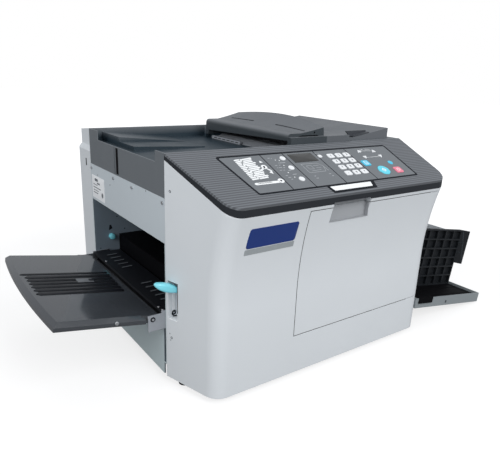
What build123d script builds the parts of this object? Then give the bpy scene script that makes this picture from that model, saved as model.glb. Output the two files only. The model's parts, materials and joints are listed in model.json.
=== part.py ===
from build123d import *
from math import atan2, cos, radians, sin, sqrt
import os

os.makedirs("parts", exist_ok=True)

# Desktop digital duplicator, millimetres.
# x runs to the right, y runs to the back, z runs up.
# The origin is the centre of the four stand holes, on the underside of the frame pan.

# Overall body
WIDTH = 640.0
CORE_DEPTH = 405.0
FRONT_DEPTH = 154.0
BACK_DEPTH = 95.0
RIM_HEIGHT = 431.0
COVER_DROP = 26.0
FLOOR_DROP = 38.0

LEFT = -WIDTH / 2
RIGHT = WIDTH / 2
SEAM = -CORE_DEPTH / 2
REAR = CORE_DEPTH / 2
FRONT = SEAM - FRONT_DEPTH
BACK = REAR + BACK_DEPTH

# General fits
SLIP = 0.2
SEAT_GAP = 0.3
RUNNING = 0.05
PAST = 1.0

# Sheet frame
FRAME_SHEET = 3.0
PAN_SIDE_INSET = 12.0
PAN_FRONT_INSET = 40.0
PAN_REAR_INSET = 14.0
TIE_RADIUS = 6.0
TIE_FEED_INSET = 120.0
TIE_DELIVERY_INSET = 80.0
TIE_DRUM_OFFSET = 120.0
TIE_LOW_HEIGHT = 30.0
TIE_HIGH_DROP = 23.0
STAND_HOLE_X = 480.0
STAND_HOLE_Y = 300.0
STAND_HOLE_RADIUS = 2.75
PLATE_FRONT_IN = SEAM + FRAME_SHEET
PLATE_REAR_IN = REAR - FRAME_SHEET

# Feet
FOOT_RADIUS = 12.0
FOOT_FROM_SIDE = 28.0
FOOT_FROM_SEAM = 23.5
FOOT_HOLE_GAP = 1.0

# Scanner housing with its exit basin
HOUSING_HEIGHT = 83.0
HOUSING_WALL = 3.0
HOUSING_CORNER = 4.0
BASIN_DEPTH = 28.0
BASIN_FRONT_RIM = 4.5
BASIN_REAR_RIM = 10.0
BASIN_NOTCH_DEPTH = 21.0
BASIN_NOTCH_FRONT = 38.0
BASIN_NOTCH_REAR = 57.0
RAMP_START = 30.0
RAMP_LENGTH = 176.0
RAMP_LOW = 2.0
RAMP_REAR_HIGH = 20.0
RAMP_MIDDLE_HIGH = 10.0
RAMP_REAR_DEPTH = 104.0
RAMP_MIDDLE_DEPTH = 85.0
SLIT_WIDTH = 6.0
SLIT_DEPTH = 1.2
HOUSING_BOTTOM = RIM_HEIGHT - HOUSING_HEIGHT
BASIN_FLOOR = RIM_HEIGHT - BASIN_DEPTH
BASIN_FRONT = SEAM + BASIN_FRONT_RIM
BASIN_REAR = REAR - BASIN_REAR_RIM

# Paper feed mouth in the left side
MOUTH_TOP_DROP = 88.0
MOUTH_TOP = HOUSING_BOTTOM - MOUTH_TOP_DROP
MOUTH_BOTTOM = 112.0
SIDE_SHEET = 3.0
SIDE_FLANGE = 12.0
BRACKET_SLOT = 8.0

# Front cover
SIDE_SLANT = 47.0
FRONT_LEAN = 26.0
LEAN_START = 162.0
CORNER_RADIUS = 35.0
COVER_WALL = 4.0
PANEL_FRONT_DROP = 73.0
TRIM_FRONT_DROP = 18.0
TRIM_REAR_DROP = 12.0
PANEL_FRONT_HEIGHT = RIM_HEIGHT - PANEL_FRONT_DROP
TRIM_FRONT_HEIGHT = PANEL_FRONT_HEIGHT - TRIM_FRONT_DROP
TRIM_REAR_HEIGHT = RIM_HEIGHT - TRIM_REAR_DROP

# Front door
DOOR_LEFT = -95.0
DOOR_BOTTOM = 62.0
DOOR_TOP_GAP = 8.0
DOOR_TOP = TRIM_FRONT_HEIGHT - DOOR_TOP_GAP
DOOR_WALL = 4.0
DOOR_GAP = 1.4
DOOR_WRAP = 43.0
DOOR_PIN_RADIUS = 2.0
DOOR_PIN_LENGTH = 6.0
DOOR_BOSS = 9.0
PULL_LEFT = -39.0
PULL_WIDTH = 104.0
PULL_HEIGHT = 30.0
PULL_DEPTH = 16.0

# Operation panel
CASE_PLATE = 4.0
TRIM_WALL = 3.5
OVERLAY_SHEET = 0.8
OVERLAY_REAR_LEFT = -228.0
OVERLAY_FRONT_LEFT = -200.0
OVERLAY_RIGHT = 239.0
OVERLAY_LOW = 27.0
OVERLAY_HIGH = 148.0
OVERLAY_CORNER = 6.0

# Keys
KEY_PROUD = 1.6
KEY_GAP = 0.3
KEY_FLANGE = 1.2
KEY_FLANGE_THICKNESS = 1.5
NUMBER_KEY_X = 71.0
NUMBER_KEY_Y = 91.0
NUMBER_KEY_PITCH_X = 23.5
NUMBER_KEY_PITCH_Y = 20.7
NUMBER_KEY_COLUMNS = 3
NUMBER_KEY_ROWS = 4
NUMBER_KEY_WIDTH = 17.0
NUMBER_KEY_DEPTH = 14.0
MODE_KEY_X = -80.0
MODE_KEY_TOP_Y = 127.0
MODE_KEY_MIDDLE_Y = 95.0
MODE_KEY_LOW_Y = 58.0
MODE_KEY_RADIUS = 6.5
DISPLAY_KEY_X = 18.0
DISPLAY_KEY_Y = 124.0
DISPLAY_KEY_WIDTH = 10.0
DISPLAY_KEY_DEPTH = 9.0
ARROW_UP_X = 140.0
ARROW_UP_Y = 129.0
ARROW_RIGHT_X = 184.0
ARROW_RIGHT_Y = 126.0
ARROW_LEFT_X = 140.5
ARROW_LEFT_Y = 108.0
ARROW_DOWN_X = 189.5
ARROW_DOWN_Y = 107.5
ARROW_UP_TURN = 90.0
ARROW_RIGHT_TURN = -30.0
ARROW_LEFT_TURN = 30.0
ARROW_DOWN_TURN = -90.0
ARROW_KEY_RADIUS = 6.5
MASTER_KEY_X = 123.7
MASTER_KEY_Y = 86.5
MASTER_KEY_WIDTH = 20.0
MASTER_KEY_DEPTH = 19.0
START_KEY_X = 153.2
START_KEY_Y = 56.8
START_KEY_RADIUS = 15.0
STOP_KEY_X = 196.4
STOP_KEY_Y = 52.7
STOP_KEY_WIDTH = 21.0
STOP_KEY_DEPTH = 20.0
KEY_CORNER = 3.0

# Blue lock lever and its recess in the front cover
RECESS_NEAR_SEAM = 5.5
RECESS_WIDTH = 24.0
RECESS_DEPTH = 14.0
RECESS_BOTTOM = 107.0
RECESS_TOP = 186.0
RECESS_WALL = 3.0
LEVER_PIVOT_INSET = 6.0
LEVER_PIVOT_HEIGHT = 171.0
LEVER_LENGTH = 51.0
LEVER_WIDTH = 20.0
LEVER_ROOT = 12.0
LEVER_TIP = 20.0
LEVER_RISE = 20.6
LEVER_PIN_RADIUS = 2.5
LEVER_PIN_REACH = 2.5

# Rear cover
REAR_SKIN = 3.5
REAR_SIDE_INSET = 2.0
REAR_STEP_DROP = 56.0
REAR_STEP_HEIGHT = RIM_HEIGHT - REAR_STEP_DROP
REAR_STEP_RISE = 10.0
REAR_STEP_INSET = 13.0
REAR_TOP_FALL = 11.0
REAR_CORNER = 12.0

# Right cover and delivery mouth
RIGHT_SKIN = 3.5
DELIVERY_MOUTH_INSET = 17.5
DELIVERY_MOUTH_BOTTOM = 52.0
DELIVERY_MOUTH_TOP = 200.0

# Print drum and its neighbours
DRUM_X = 60.0
DRUM_HEIGHT = 195.0
DRUM_RADIUS = 88.0
DRUM_END_GAP = 6.5
DRUM_LENGTH = CORE_DEPTH - 2 * (FRAME_SHEET + DRUM_END_GAP)
DRUM_WALL = 3.0
DRUM_SHAFT_RADIUS = 10.0
DRUM_DOOR_GAP = 5.0
HOLDER_LIP = 12.0
HOLDER_SHEET = 4.0
HANDLE_WIDTH = 90.0
HANDLE_REACH = 26.0
HANDLE_BAR = 10.0
HANDLE_DROP = 45.0
PRESS_RADIUS = 20.0
PRESS_END_INSET = 3.0
PRESS_LENGTH = DRUM_LENGTH - 2 * PRESS_END_INSET
PRESS_SHAFT_RADIUS = 6.0
NIP_GAP = 0.5
MASTER_OFFSET = 180.0
MASTER_X = DRUM_X - MASTER_OFFSET
MASTER_DROP = 48.0
MASTER_HEIGHT = HOUSING_BOTTOM - MASTER_DROP
MASTER_RADIUS = 28.0
MASTER_LENGTH = 330.0
MASTER_SHAFT_RADIUS = 5.0
HEAD_OFFSET = 85.0
HEAD_X = DRUM_X - HEAD_OFFSET
HEAD_WIDTH = 30.0
HEAD_DROP = 48.0
HEAD_BOTTOM = HOUSING_BOTTOM - HEAD_DROP
HEAD_HEIGHT = 25.0

# Paper feed
STOP_PLATE_INSET = 64.0
STOP_PLATE_X = LEFT + STOP_PLATE_INSET
GUIDE_SHEET = 2.5
GUIDE_TOP = 158.0
GUIDE_FLAT = 56.0
GUIDE_END_OFFSET = 90.0
GUIDE_END_X = DRUM_X - GUIDE_END_OFFSET
GUIDE_END_HEIGHT = 112.0
PICKUP_INSET = 80.0
PICKUP_X = LEFT + PICKUP_INSET
PICKUP_DROP = 29.0
PICKUP_HEIGHT = MOUTH_TOP - PICKUP_DROP
PICKUP_RADIUS = 16.0
PICKUP_WIDTH = 60.0
PICKUP_SHAFT_RADIUS = 5.0
TABLE_TOP = 121.0
TABLE_THICKNESS = 5.0
TABLE_LIP = 8.0
TABLE_SIDE_GAP = 0.3
TABLE_STOP_GAP = 6.0
TABLE_RIB_HEIGHT = 1.2
TABLE_RIB_LENGTH = 26.0
TABLE_RIB_WIDTH = 6.0
TABLE_RIB_PITCH = 24.0
TABLE_RIB_COUNT = 5
TABLE_RIB_CENTRE = 103.0
BRACKET_SHEET = 2.5
BRACKET_LEFT = 37.0
BRACKET_INNER = 20.0
BRACKET_HEIGHT = 34.0
TRAY_HINGE_OUT = 27.0
TRAY_HINGE_DROP = 13.5
TRAY_TILT = 9.9
TRAY_LENGTH = 189.0
TRAY_BOW = 11.0
TRAY_TAIL = 13.0
TRAY_ABOVE = 8.3
TRAY_BELOW = 7.7
TRAY_BEVEL = 8.0
TRAY_SHEET = 2.5
TRAY_SIDE_GAP = 0.7
TRAY_RIB_COUNT = 7
TRAY_RIB_PITCH = 19.0
TRAY_RIB_START = 30.0
TRAY_RIB_LENGTH = 150.0
TRAY_RIB_WIDTH = 6.0
TRAY_RIB_HEIGHT = 1.0
TRAY_PIN_RADIUS = 3.0
TRAY_OVERHANG = 1.5
TRAY_NECK_GAP = 0.9

# Separation knob on the rear frame plate
KNOB_INSET = 43.0
KNOB_X = LEFT + KNOB_INSET
KNOB_HEIGHT = 155.0
KNOB_RADIUS = 7.5
KNOB_LENGTH = 12.0
KNOB_SHAFT_RADIUS = 4.0
KNOB_CLEARANCE = 3.0

# Original feeder on top
LID_LEFT = -23.0
LID_RIGHT = 150.0
LID_FRONT_INSET = 5.5
LID_REAR_INSET = 48.5
LID_FRONT = SEAM + LID_FRONT_INSET
LID_REAR = REAR - LID_REAR_INSET
LID_EDGE_ROUND = 9.0
LID_SLOPE_X = 13.0
LID_SLOPE_SHARE = 0.45
LID_CREST_X = 79.0
LID_CREST_DRAFT = 3.0
LID_CREST_FRONT_RISE = 32.0
LID_CREST_MIDDLE_RISE = 43.0
LID_CREST_REAR_RISE = 36.5
LID_CREST_RUN = 65.0
LID_LEFT_EDGE_RISE = 21.0
LID_RIGHT_EDGE_RISE = 14.0
LID_END_WALL = 12.0
LID_LEDGE_RISE = 14.0
LID_SIDE_DROP = 17.0
LID_WALL = 7.0
LID_ROOF_RISE = 16.0
LID_ROOF_RUN = 45.0
LID_LIP_RISE = 10.0
LID_EXIT_FRONT_RISE = 6.5
LID_EXIT_REAR_DROP = 6.0
LID_SLOT_X = 33.0
LID_SLOT_WIDTH = 3.0
LID_SLOT_RISE = 23.0
LID_SLOT_FRONT_INSET = 23.0
LID_SLOT_FRONT_LENGTH = 104.0
LID_SLOT_REAR_INSET = 38.0
LID_SLOT_REAR_LENGTH = 98.0
LID_SLOT_FRONT_START = LID_FRONT + LID_SLOT_FRONT_INSET
LID_SLOT_REAR_END = LID_REAR - LID_SLOT_REAR_INSET
LID_SLOTS = (
    (LID_SLOT_FRONT_START, LID_SLOT_FRONT_START + LID_SLOT_FRONT_LENGTH),
    (LID_SLOT_REAR_END - LID_SLOT_REAR_LENGTH, LID_SLOT_REAR_END),
)
LID_PORT_X = 53.0
LID_PORT_RISE = 21.0
LID_PORT_RADIUS = 2.5
LID_HINGE_X = -15.5
LID_HINGE_DROP = 7.0
LID_CREST_FRONT = RIM_HEIGHT + LID_CREST_FRONT_RISE
LID_CREST_MIDDLE = RIM_HEIGHT + LID_CREST_MIDDLE_RISE
LID_CREST_REAR = RIM_HEIGHT + LID_CREST_REAR_RISE
LID_LEFT_EDGE = RIM_HEIGHT + LID_LEFT_EDGE_RISE
LID_RIGHT_EDGE = RIM_HEIGHT + LID_RIGHT_EDGE_RISE
LID_LEDGE_HEIGHT = RIM_HEIGHT + LID_LEDGE_RISE
LID_SIDE_BOTTOM = RIM_HEIGHT - LID_SIDE_DROP
LID_ROOF = RIM_HEIGHT + LID_ROOF_RISE
LID_LIP = RIM_HEIGHT + LID_LIP_RISE
LID_EXIT_FRONT = RIM_HEIGHT + LID_EXIT_FRONT_RISE
LID_EXIT_REAR = RIM_HEIGHT - LID_EXIT_REAR_DROP
LID_SLOT_BOTTOM = RIM_HEIGHT + LID_SLOT_RISE
LID_PORT_HEIGHT = RIM_HEIGHT + LID_PORT_RISE
LID_HINGE_HEIGHT = RIM_HEIGHT - LID_HINGE_DROP
LID_PIN_RADIUS = 3.0
LID_EAR = 8.0
HINGE_POST = 6.0
SCAN_ROLLER_X = 45.0
SCAN_ROLLER_RADIUS = 9.0
SCAN_ROLLER_SHAFT = 3.0
SCAN_ROLLER_REACH = 5.0
SCAN_UNIT_LEFT = 15.0
SCAN_UNIT_WIDTH = 60.0
SCAN_UNIT_HEIGHT = 12.0
SCAN_UNIT_END_GAP = 8.0
EXIT_RAMP_LEFT = -6.0
EXIT_RAMP_LOW = 1.0
ORIGINAL_TABLE_LID_GAP = 8.0
ORIGINAL_TABLE_RIGHT_INSET = 30.0
ORIGINAL_TABLE_END_INSET = 8.5
ORIGINAL_TABLE_LEFT = LID_RIGHT + ORIGINAL_TABLE_LID_GAP
ORIGINAL_TABLE_RIGHT = RIGHT - ORIGINAL_TABLE_RIGHT_INSET
ORIGINAL_CENTRE = (LID_FRONT + LID_REAR) / 2
ORIGINAL_TABLE_HALF = (LID_REAR - LID_FRONT) / 2 - ORIGINAL_TABLE_END_INSET
ORIGINAL_TABLE_LOW = 4.0
ORIGINAL_TABLE_HIGH = 25.0
FENCE_START = 16.0
FENCE_LENGTH = 54.0
FENCE_TOP_RISE = 20.0
FENCE_WALL = 3.0
FENCE_BASE = 15.0
FENCE_BASE_SHEET = 2.0
FENCE_POINT = 14.0
FENCE_END_INSET = 17.0
FENCE_SPREAD = ORIGINAL_TABLE_HALF - FENCE_END_INSET

# Delivery tray and its fences
DELIVERY_TOP = 41.3
DELIVERY_TILT = 9.68
DELIVERY_LENGTH = 303.0
DELIVERY_FRONT_REACH = 115.5
DELIVERY_REAR_REACH = 37.5
DELIVERY_FRONT = SEAM - DELIVERY_FRONT_REACH
DELIVERY_REAR = REAR + DELIVERY_REAR_REACH
DELIVERY_HEIGHT = 26.0
DELIVERY_WALL = 3.0
DELIVERY_POCKET = 7.0
DELIVERY_FLOOR_SHEET = 4.0
DELIVERY_GROOVE_PITCH = 42.0
DELIVERY_GROOVE_WIDTH = 3.0
DELIVERY_GROOVE_DEPTH = 1.0
CLIP_START = 14.0
CLIP_WIDTH = 58.0
CLIP_DROP = 13.0
CLIP_SHEET = 2.5
SIDE_FENCE_OUTSET = 9.5
SIDE_FENCE_SPREAD = CORE_DEPTH / 2 + SIDE_FENCE_OUTSET
SIDE_FENCE_START = 20.0
SIDE_FENCE_END = 296.0
SIDE_FENCE_TOP = 161.0
SIDE_FENCE_SHEET = 2.0
SIDE_FENCE_DEPTH = 10.0
SIDE_FENCE_RIB = 4.0
SIDE_FENCE_COLUMNS = 8
SIDE_FENCE_ROWS = 7
SIDE_FENCE_WING = 22.0
SIDE_FENCE_FLARE = 22.0
SIDE_FENCE_WING_START = 60.0
END_FENCE_SIDE_GAP = 42.0
END_FENCE_HALF = SIDE_FENCE_SPREAD - END_FENCE_SIDE_GAP
END_FENCE_SHEET = 2.5
END_FENCE_TOP = 150.0
END_FENCE_FOOT = 28.0
END_FENCE_FOOT_HALF = 60.0

# Drive motor on the rear frame plate
MOTOR_OFFSET = 100.0
MOTOR_X = DRUM_X + MOTOR_OFFSET
MOTOR_HEIGHT = 115.0
MOTOR_RADIUS = 30.0
MOTOR_LENGTH = 55.0
MOTOR_FLANGE = 76.0
MOTOR_FLANGE_SHEET = 5.0

# Power inlet and switch
INLET_INSET = 100.0
INLET_X = RIGHT - INLET_INSET
INLET_HEIGHT = 40.0
INLET_WIDTH = 28.0
INLET_TALL = 20.0
INLET_DEPTH = 24.0
INLET_FLANGE = 5.0
INLET_FLANGE_SHEET = 1.5
INLET_PIN_WIDTH = 2.0
INLET_PIN_TALL = 4.0
INLET_PIN_PITCH = 7.0
INLET_PIN_REACH = 16.0
SWITCH_REAR_INSET = 52.5
SWITCH_Y = REAR - SWITCH_REAR_INSET
SWITCH_DROP = 58.0
SWITCH_HEIGHT = HOUSING_BOTTOM - SWITCH_DROP
SWITCH_WIDTH = 12.0
SWITCH_INSET = 5.0
SWITCH_HALF = 8.0
SWITCH_CROWN = 6.5
SWITCH_DIP = 4.0
SWITCH_GAP = 2.0
SWITCH_SIDE_GAP = 0.3
SWITCH_BOX_WALL = 3.0
SWITCH_BOX_DEPTH = 18.0
SWITCH_PIN_RADIUS = 1.5
SWITCH_PIN_LENGTH = 2.0

# Screws
SCREW_HEAD_RADIUS = 3.5
SCREW_HEAD_HEIGHT = 2.0
SCREW_SHANK_RADIUS = 1.5
SCREW_HOLE_RADIUS = 1.6
SCREW_PANEL_DROP = 10.0
SCREW_PANEL_HEIGHT = HOUSING_BOTTOM - SCREW_PANEL_DROP
SCREW_PANEL_INSET = 9.0
SCREW_PANEL_INNER = 51.5
SCREW_SHANK_LENGTH = 6.0
SCREW_COVER_LOW = 80.0
SCREW_COVER_DROP = 23.0
SCREW_COVER_INSET = 14.0


def slab(x, y, z, mode=Mode.ADD):
    """Add or cut a box that spans the given (low, high) pairs."""
    with Locations(((x[0] + x[1]) / 2, (y[0] + y[1]) / 2, (z[0] + z[1]) / 2)):
        Box(x[1] - x[0], y[1] - y[0], z[1] - z[0], mode=mode)


def rod(x, z, y, radius, mode=Mode.ADD):
    """Add or cut a round rod along y, centred on (x, z), over the (low, high) pair y."""
    with BuildSketch(Plane.XZ.offset(-y[0])) as disc:
        with Locations((x, z)):
            Circle(radius)
    extrude(disc.sketch, amount=y[0] - y[1], mode=mode)


def post(x, y, z, radius, mode=Mode.ADD):
    """Add or cut an upright round post centred on (x, y), over the (low, high) pair z."""
    with BuildSketch(Plane.XY.offset(z[0])) as disc:
        with Locations((x, y)):
            Circle(radius)
    extrude(disc.sketch, amount=z[1] - z[0], mode=mode)


def save(builder, name):
    """Name a finished piece and write its file."""
    builder.part.label = name
    export_step(builder.part, f"parts/{name}.step")


# Sheet frame: pan, front and rear plates, low left wall and cross ties
FOOT_PLACES = [
    (side * (WIDTH / 2 - FOOT_FROM_SIDE), end * (CORE_DEPTH / 2 + FOOT_FROM_SEAM))
    for side in (-1, 1)
    for end in (-1, 1)
]
TIE_PLACES = (
    (LEFT + TIE_FEED_INSET, HOUSING_BOTTOM - TIE_HIGH_DROP),
    (RIGHT - TIE_DELIVERY_INSET, HOUSING_BOTTOM - TIE_HIGH_DROP),
    (RIGHT - TIE_DELIVERY_INSET, TIE_LOW_HEIGHT),
    (DRUM_X - TIE_DRUM_OFFSET, TIE_LOW_HEIGHT),
)
FOOT_HOLE = (-COVER_DROP - PAST, 0)
PRESS_HEIGHT = DRUM_HEIGHT - DRUM_RADIUS - NIP_GAP - PRESS_RADIUS

pan_slant = SIDE_SLANT * (FRONT_DEPTH - PAN_FRONT_INSET) / FRONT_DEPTH

with BuildPart() as chassis:
    with BuildSketch(Plane.XY):
        with BuildLine():
            Polyline(
                (LEFT, SEAM),
                (LEFT, REAR),
                (LEFT + PAN_SIDE_INSET, REAR),
                (LEFT + PAN_SIDE_INSET, BACK - PAN_REAR_INSET),
                (RIGHT - PAN_SIDE_INSET, BACK - PAN_REAR_INSET),
                (RIGHT - PAN_SIDE_INSET, SEAM - FOOT_FROM_SEAM - FOOT_RADIUS),
                (RIGHT - PAN_SIDE_INSET - CORNER_RADIUS, FRONT + PAN_FRONT_INSET),
                (LEFT + PAN_SIDE_INSET + pan_slant, FRONT + PAN_FRONT_INSET),
                (LEFT + PAN_SIDE_INSET, SEAM),
                close=True,
            )
        make_face()
    extrude(amount=FRAME_SHEET)
    for low in (SEAM, PLATE_REAR_IN):
        slab((LEFT, RIGHT - RIGHT_SKIN), (low, low + FRAME_SHEET), (0, MOUTH_TOP))
        slab(
            (LEFT + SIDE_SHEET, RIGHT - RIGHT_SKIN),
            (low, low + FRAME_SHEET),
            (MOUTH_TOP, HOUSING_BOTTOM),
        )
    slab(
        (LEFT, LEFT + SIDE_SHEET),
        (PLATE_FRONT_IN + BRACKET_SLOT, PLATE_REAR_IN - BRACKET_SLOT),
        (-COVER_DROP, MOUTH_BOTTOM),
    )
    for tie_x, tie_height in TIE_PLACES:
        rod(tie_x, tie_height, (SEAM, REAR), TIE_RADIUS)
    with Locations(Plane.XY):
        with GridLocations(STAND_HOLE_X, STAND_HOLE_Y, 2, 2):
            Hole(STAND_HOLE_RADIUS, depth=FRAME_SHEET)
    # The drum slides out through the front plate, all shafts turn in round holes
    front_plate = (SEAM - PAST, PLATE_FRONT_IN + PAST)
    rear_plate = (PLATE_REAR_IN - PAST, REAR + PAST)
    rod(DRUM_X, DRUM_HEIGHT, front_plate, DRUM_RADIUS + DRUM_DOOR_GAP, Mode.SUBTRACT)
    rod(DRUM_X, DRUM_HEIGHT, rear_plate, DRUM_SHAFT_RADIUS + RUNNING, Mode.SUBTRACT)
    rod(KNOB_X, KNOB_HEIGHT, rear_plate, KNOB_SHAFT_RADIUS + RUNNING, Mode.SUBTRACT)
    for plate in (front_plate, rear_plate):
        rod(DRUM_X, PRESS_HEIGHT, plate, PRESS_SHAFT_RADIUS + RUNNING, Mode.SUBTRACT)
        rod(MASTER_X, MASTER_HEIGHT, plate, MASTER_SHAFT_RADIUS + RUNNING, Mode.SUBTRACT)
        rod(PICKUP_X, PICKUP_HEIGHT, plate, PICKUP_SHAFT_RADIUS + RUNNING, Mode.SUBTRACT)
save(chassis, "chassis")

with BuildPart() as feet:
    with BuildSketch(Plane.XY.offset(-FLOOR_DROP)):
        with Locations(FOOT_PLACES):
            Circle(FOOT_RADIUS)
    extrude(amount=FLOOR_DROP)
save(feet, "feet")

# Sheet above the feed mouth, folded inwards along its lower edge
SCREW_PANEL_PLACES = [
    end * reach
    for end in (-1, 1)
    for reach in (SCREW_PANEL_INNER, CORE_DEPTH / 2 - SCREW_PANEL_INSET)
]

with BuildPart() as left_upper_panel:
    slab((LEFT, LEFT + SIDE_SHEET), (SEAM, REAR), (MOUTH_TOP, HOUSING_BOTTOM))
    slab(
        (LEFT, LEFT + SIDE_FLANGE),
        (PLATE_FRONT_IN, PLATE_REAR_IN),
        (MOUTH_TOP, MOUTH_TOP + SIDE_SHEET / 2),
    )
    with BuildSketch(Plane.YZ.offset(LEFT)):
        with Locations([(place, SCREW_PANEL_HEIGHT) for place in SCREW_PANEL_PLACES]):
            Circle(SCREW_HOLE_RADIUS)
    extrude(amount=SIDE_SHEET, mode=Mode.SUBTRACT)
save(left_upper_panel, "left_upper_panel")

# Scanner housing: a dark tub whose left half is the exit basin for originals
BAY_RIGHT = LID_RIGHT + PAST
RAMPS = (
    (BASIN_REAR - RAMP_REAR_DEPTH, BASIN_REAR, RAMP_REAR_HIGH),
    (BASIN_REAR - RAMP_REAR_DEPTH - RAMP_MIDDLE_DEPTH, BASIN_REAR - RAMP_REAR_DEPTH, RAMP_MIDDLE_HIGH),
)

with BuildPart() as scanner_housing:
    slab((LEFT, RIGHT), (SEAM, REAR), (HOUSING_BOTTOM, RIM_HEIGHT))
    fillet(scanner_housing.edges().filter_by(Axis.Z).group_by(Axis.Y)[-1], HOUSING_CORNER)
    inside_y = (PLATE_FRONT_IN, PLATE_REAR_IN)
    slab(
        (LEFT + HOUSING_WALL, RIGHT - HOUSING_WALL),
        inside_y,
        (HOUSING_BOTTOM - PAST, BASIN_FLOOR - HOUSING_WALL),
        Mode.SUBTRACT,
    )
    slab(
        (BAY_RIGHT + HOUSING_WALL, RIGHT - HOUSING_WALL),
        inside_y,
        (HOUSING_BOTTOM, RIM_HEIGHT - HOUSING_WALL),
        Mode.SUBTRACT,
    )
    slab(
        (LEFT + HOUSING_WALL, BAY_RIGHT),
        (BASIN_FRONT, BASIN_REAR),
        (BASIN_FLOOR, RIM_HEIGHT + PAST),
        Mode.SUBTRACT,
    )
    slab(
        (LEFT - PAST, LEFT + HOUSING_WALL),
        (SEAM + BASIN_NOTCH_FRONT, REAR - BASIN_NOTCH_REAR),
        (RIM_HEIGHT - BASIN_NOTCH_DEPTH, RIM_HEIGHT + PAST),
        Mode.SUBTRACT,
    )
    slab(
        (LEFT - PAST, LEFT + SLIT_DEPTH),
        (BASIN_REAR - RAMP_REAR_DEPTH * 1.5, BASIN_REAR - RAMP_REAR_DEPTH * 1.5 + SLIT_WIDTH),
        (HOUSING_BOTTOM - PAST, RIM_HEIGHT - BASIN_NOTCH_DEPTH + PAST),
        Mode.SUBTRACT,
    )
    for ramp_front, ramp_rear, high in RAMPS:
        with BuildSketch(Plane.XZ.offset(-ramp_front)):
            with BuildLine():
                Polyline(
                    (LEFT + RAMP_START, BASIN_FLOOR),
                    (LEFT + RAMP_START, BASIN_FLOOR + high),
                    (LEFT + RAMP_START + RAMP_LENGTH, BASIN_FLOOR + RAMP_LOW),
                    (LEFT + RAMP_START + RAMP_LENGTH, BASIN_FLOOR),
                    close=True,
                )
            make_face()
        extrude(amount=ramp_front - ramp_rear)
    post_rear = (LID_REAR + SEAT_GAP, LID_REAR + SEAT_GAP + HINGE_POST)
    slab(
        (LID_HINGE_X - LID_EAR, LID_HINGE_X + LID_EAR),
        post_rear,
        (BASIN_FLOOR, LID_HINGE_HEIGHT + LID_EAR),
    )
    rod(LID_HINGE_X, LID_HINGE_HEIGHT, (LID_REAR - LID_END_WALL / 2, post_rear[0]), LID_PIN_RADIUS)
    rod(LID_HINGE_X, LID_HINGE_HEIGHT, (BASIN_FRONT, LID_FRONT + LID_END_WALL / 2), LID_PIN_RADIUS)
save(scanner_housing, "scanner_housing")


# Front cover and front door share one curved outer form
def front_form(inset, back):
    """The front form moved inwards by inset, running back to y = back.

    The side profile is upright low down and leans forward in one arc to the panel's edge.
    The left side slants in plan, and both front corners are round.
    """
    lean_y = FRONT + FRONT_LEAN + inset
    slant = sqrt(FRONT_DEPTH**2 + SIDE_SLANT**2)
    outward = Vector(-FRONT_DEPTH / slant, -SIDE_SLANT / slant, 0)
    bottom = -COVER_DROP + inset
    with BuildPart() as form:
        with BuildSketch(Plane.YZ.offset(LEFT + inset - SIDE_SLANT)):
            with BuildLine():
                Line((back, bottom), (lean_y, bottom))
                Line((lean_y, bottom), (lean_y, LEAN_START))
                lean_end = (FRONT + inset, TRIM_FRONT_HEIGHT)
                bow = TangentArc((lean_y, LEAN_START), lean_end, tangent=(0, 1))
                top = TRIM_REAR_HEIGHT + PAST
                Line(bow @ 1, (FRONT + inset, top))
                Line((FRONT + inset, top), (back, top))
                Line((back, top), (back, bottom))
            make_face()
        extrude(amount=WIDTH + SIDE_SLANT - 2 * inset)
        side = Plane(Vector(LEFT, SEAM, 0) - outward * inset, z_dir=outward)
        split(bisect_by=side, keep=Keep.BOTTOM)
        front_edges = form.edges().filter_by(lambda edge: edge.center().Y < lean_y + PAST)
        corners = front_edges.filter_by(lambda edge: abs(edge.tangent_at(0.5).X) < 0.5)
        fillet(corners, CORNER_RADIUS - inset)
    return form.part


TRIM_PLANE = Plane(
    (0, FRONT, TRIM_FRONT_HEIGHT),
    x_dir=(1, 0, 0),
    z_dir=(0, TRIM_FRONT_HEIGHT - TRIM_REAR_HEIGHT, FRONT_DEPTH),
)
DOOR_HINGE_X = RIGHT - DOOR_WALL
DOOR_HINGE_Y = FRONT + FRONT_LEAN + DOOR_WRAP
RECESS_REAR = SEAM - RECESS_NEAR_SEAM
RECESS_FRONT = RECESS_REAR - RECESS_WIDTH
FACE_AT_RECESS = LEFT + SIDE_SLANT * (SEAM - RECESS_FRONT) / FRONT_DEPTH
RECESS_FLOOR_X = FACE_AT_RECESS + RECESS_DEPTH
LEVER_X = FACE_AT_RECESS + LEVER_PIVOT_INSET


def inside_front(x, y, z):
    """Box over the given (low, high) pairs, trimmed to lie inside the front form."""
    with BuildPart() as block:
        slab(x, y, z)
        add(front_outer, mode=Mode.INTERSECT)
    return block.part


front_outer = front_form(0, SEAM)
pull_x = (PULL_LEFT, PULL_LEFT + PULL_WIDTH)
pull_y = (FRONT - PAST, FRONT + PULL_DEPTH)
cup_x = (PULL_LEFT - DOOR_WALL, PULL_LEFT + PULL_WIDTH + DOOR_WALL)
cup_y = (FRONT, FRONT + PULL_DEPTH + DOOR_WALL)
front_inner = front_form(COVER_WALL, REAR)
door_inner = front_form(DOOR_WALL, REAR)

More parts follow.
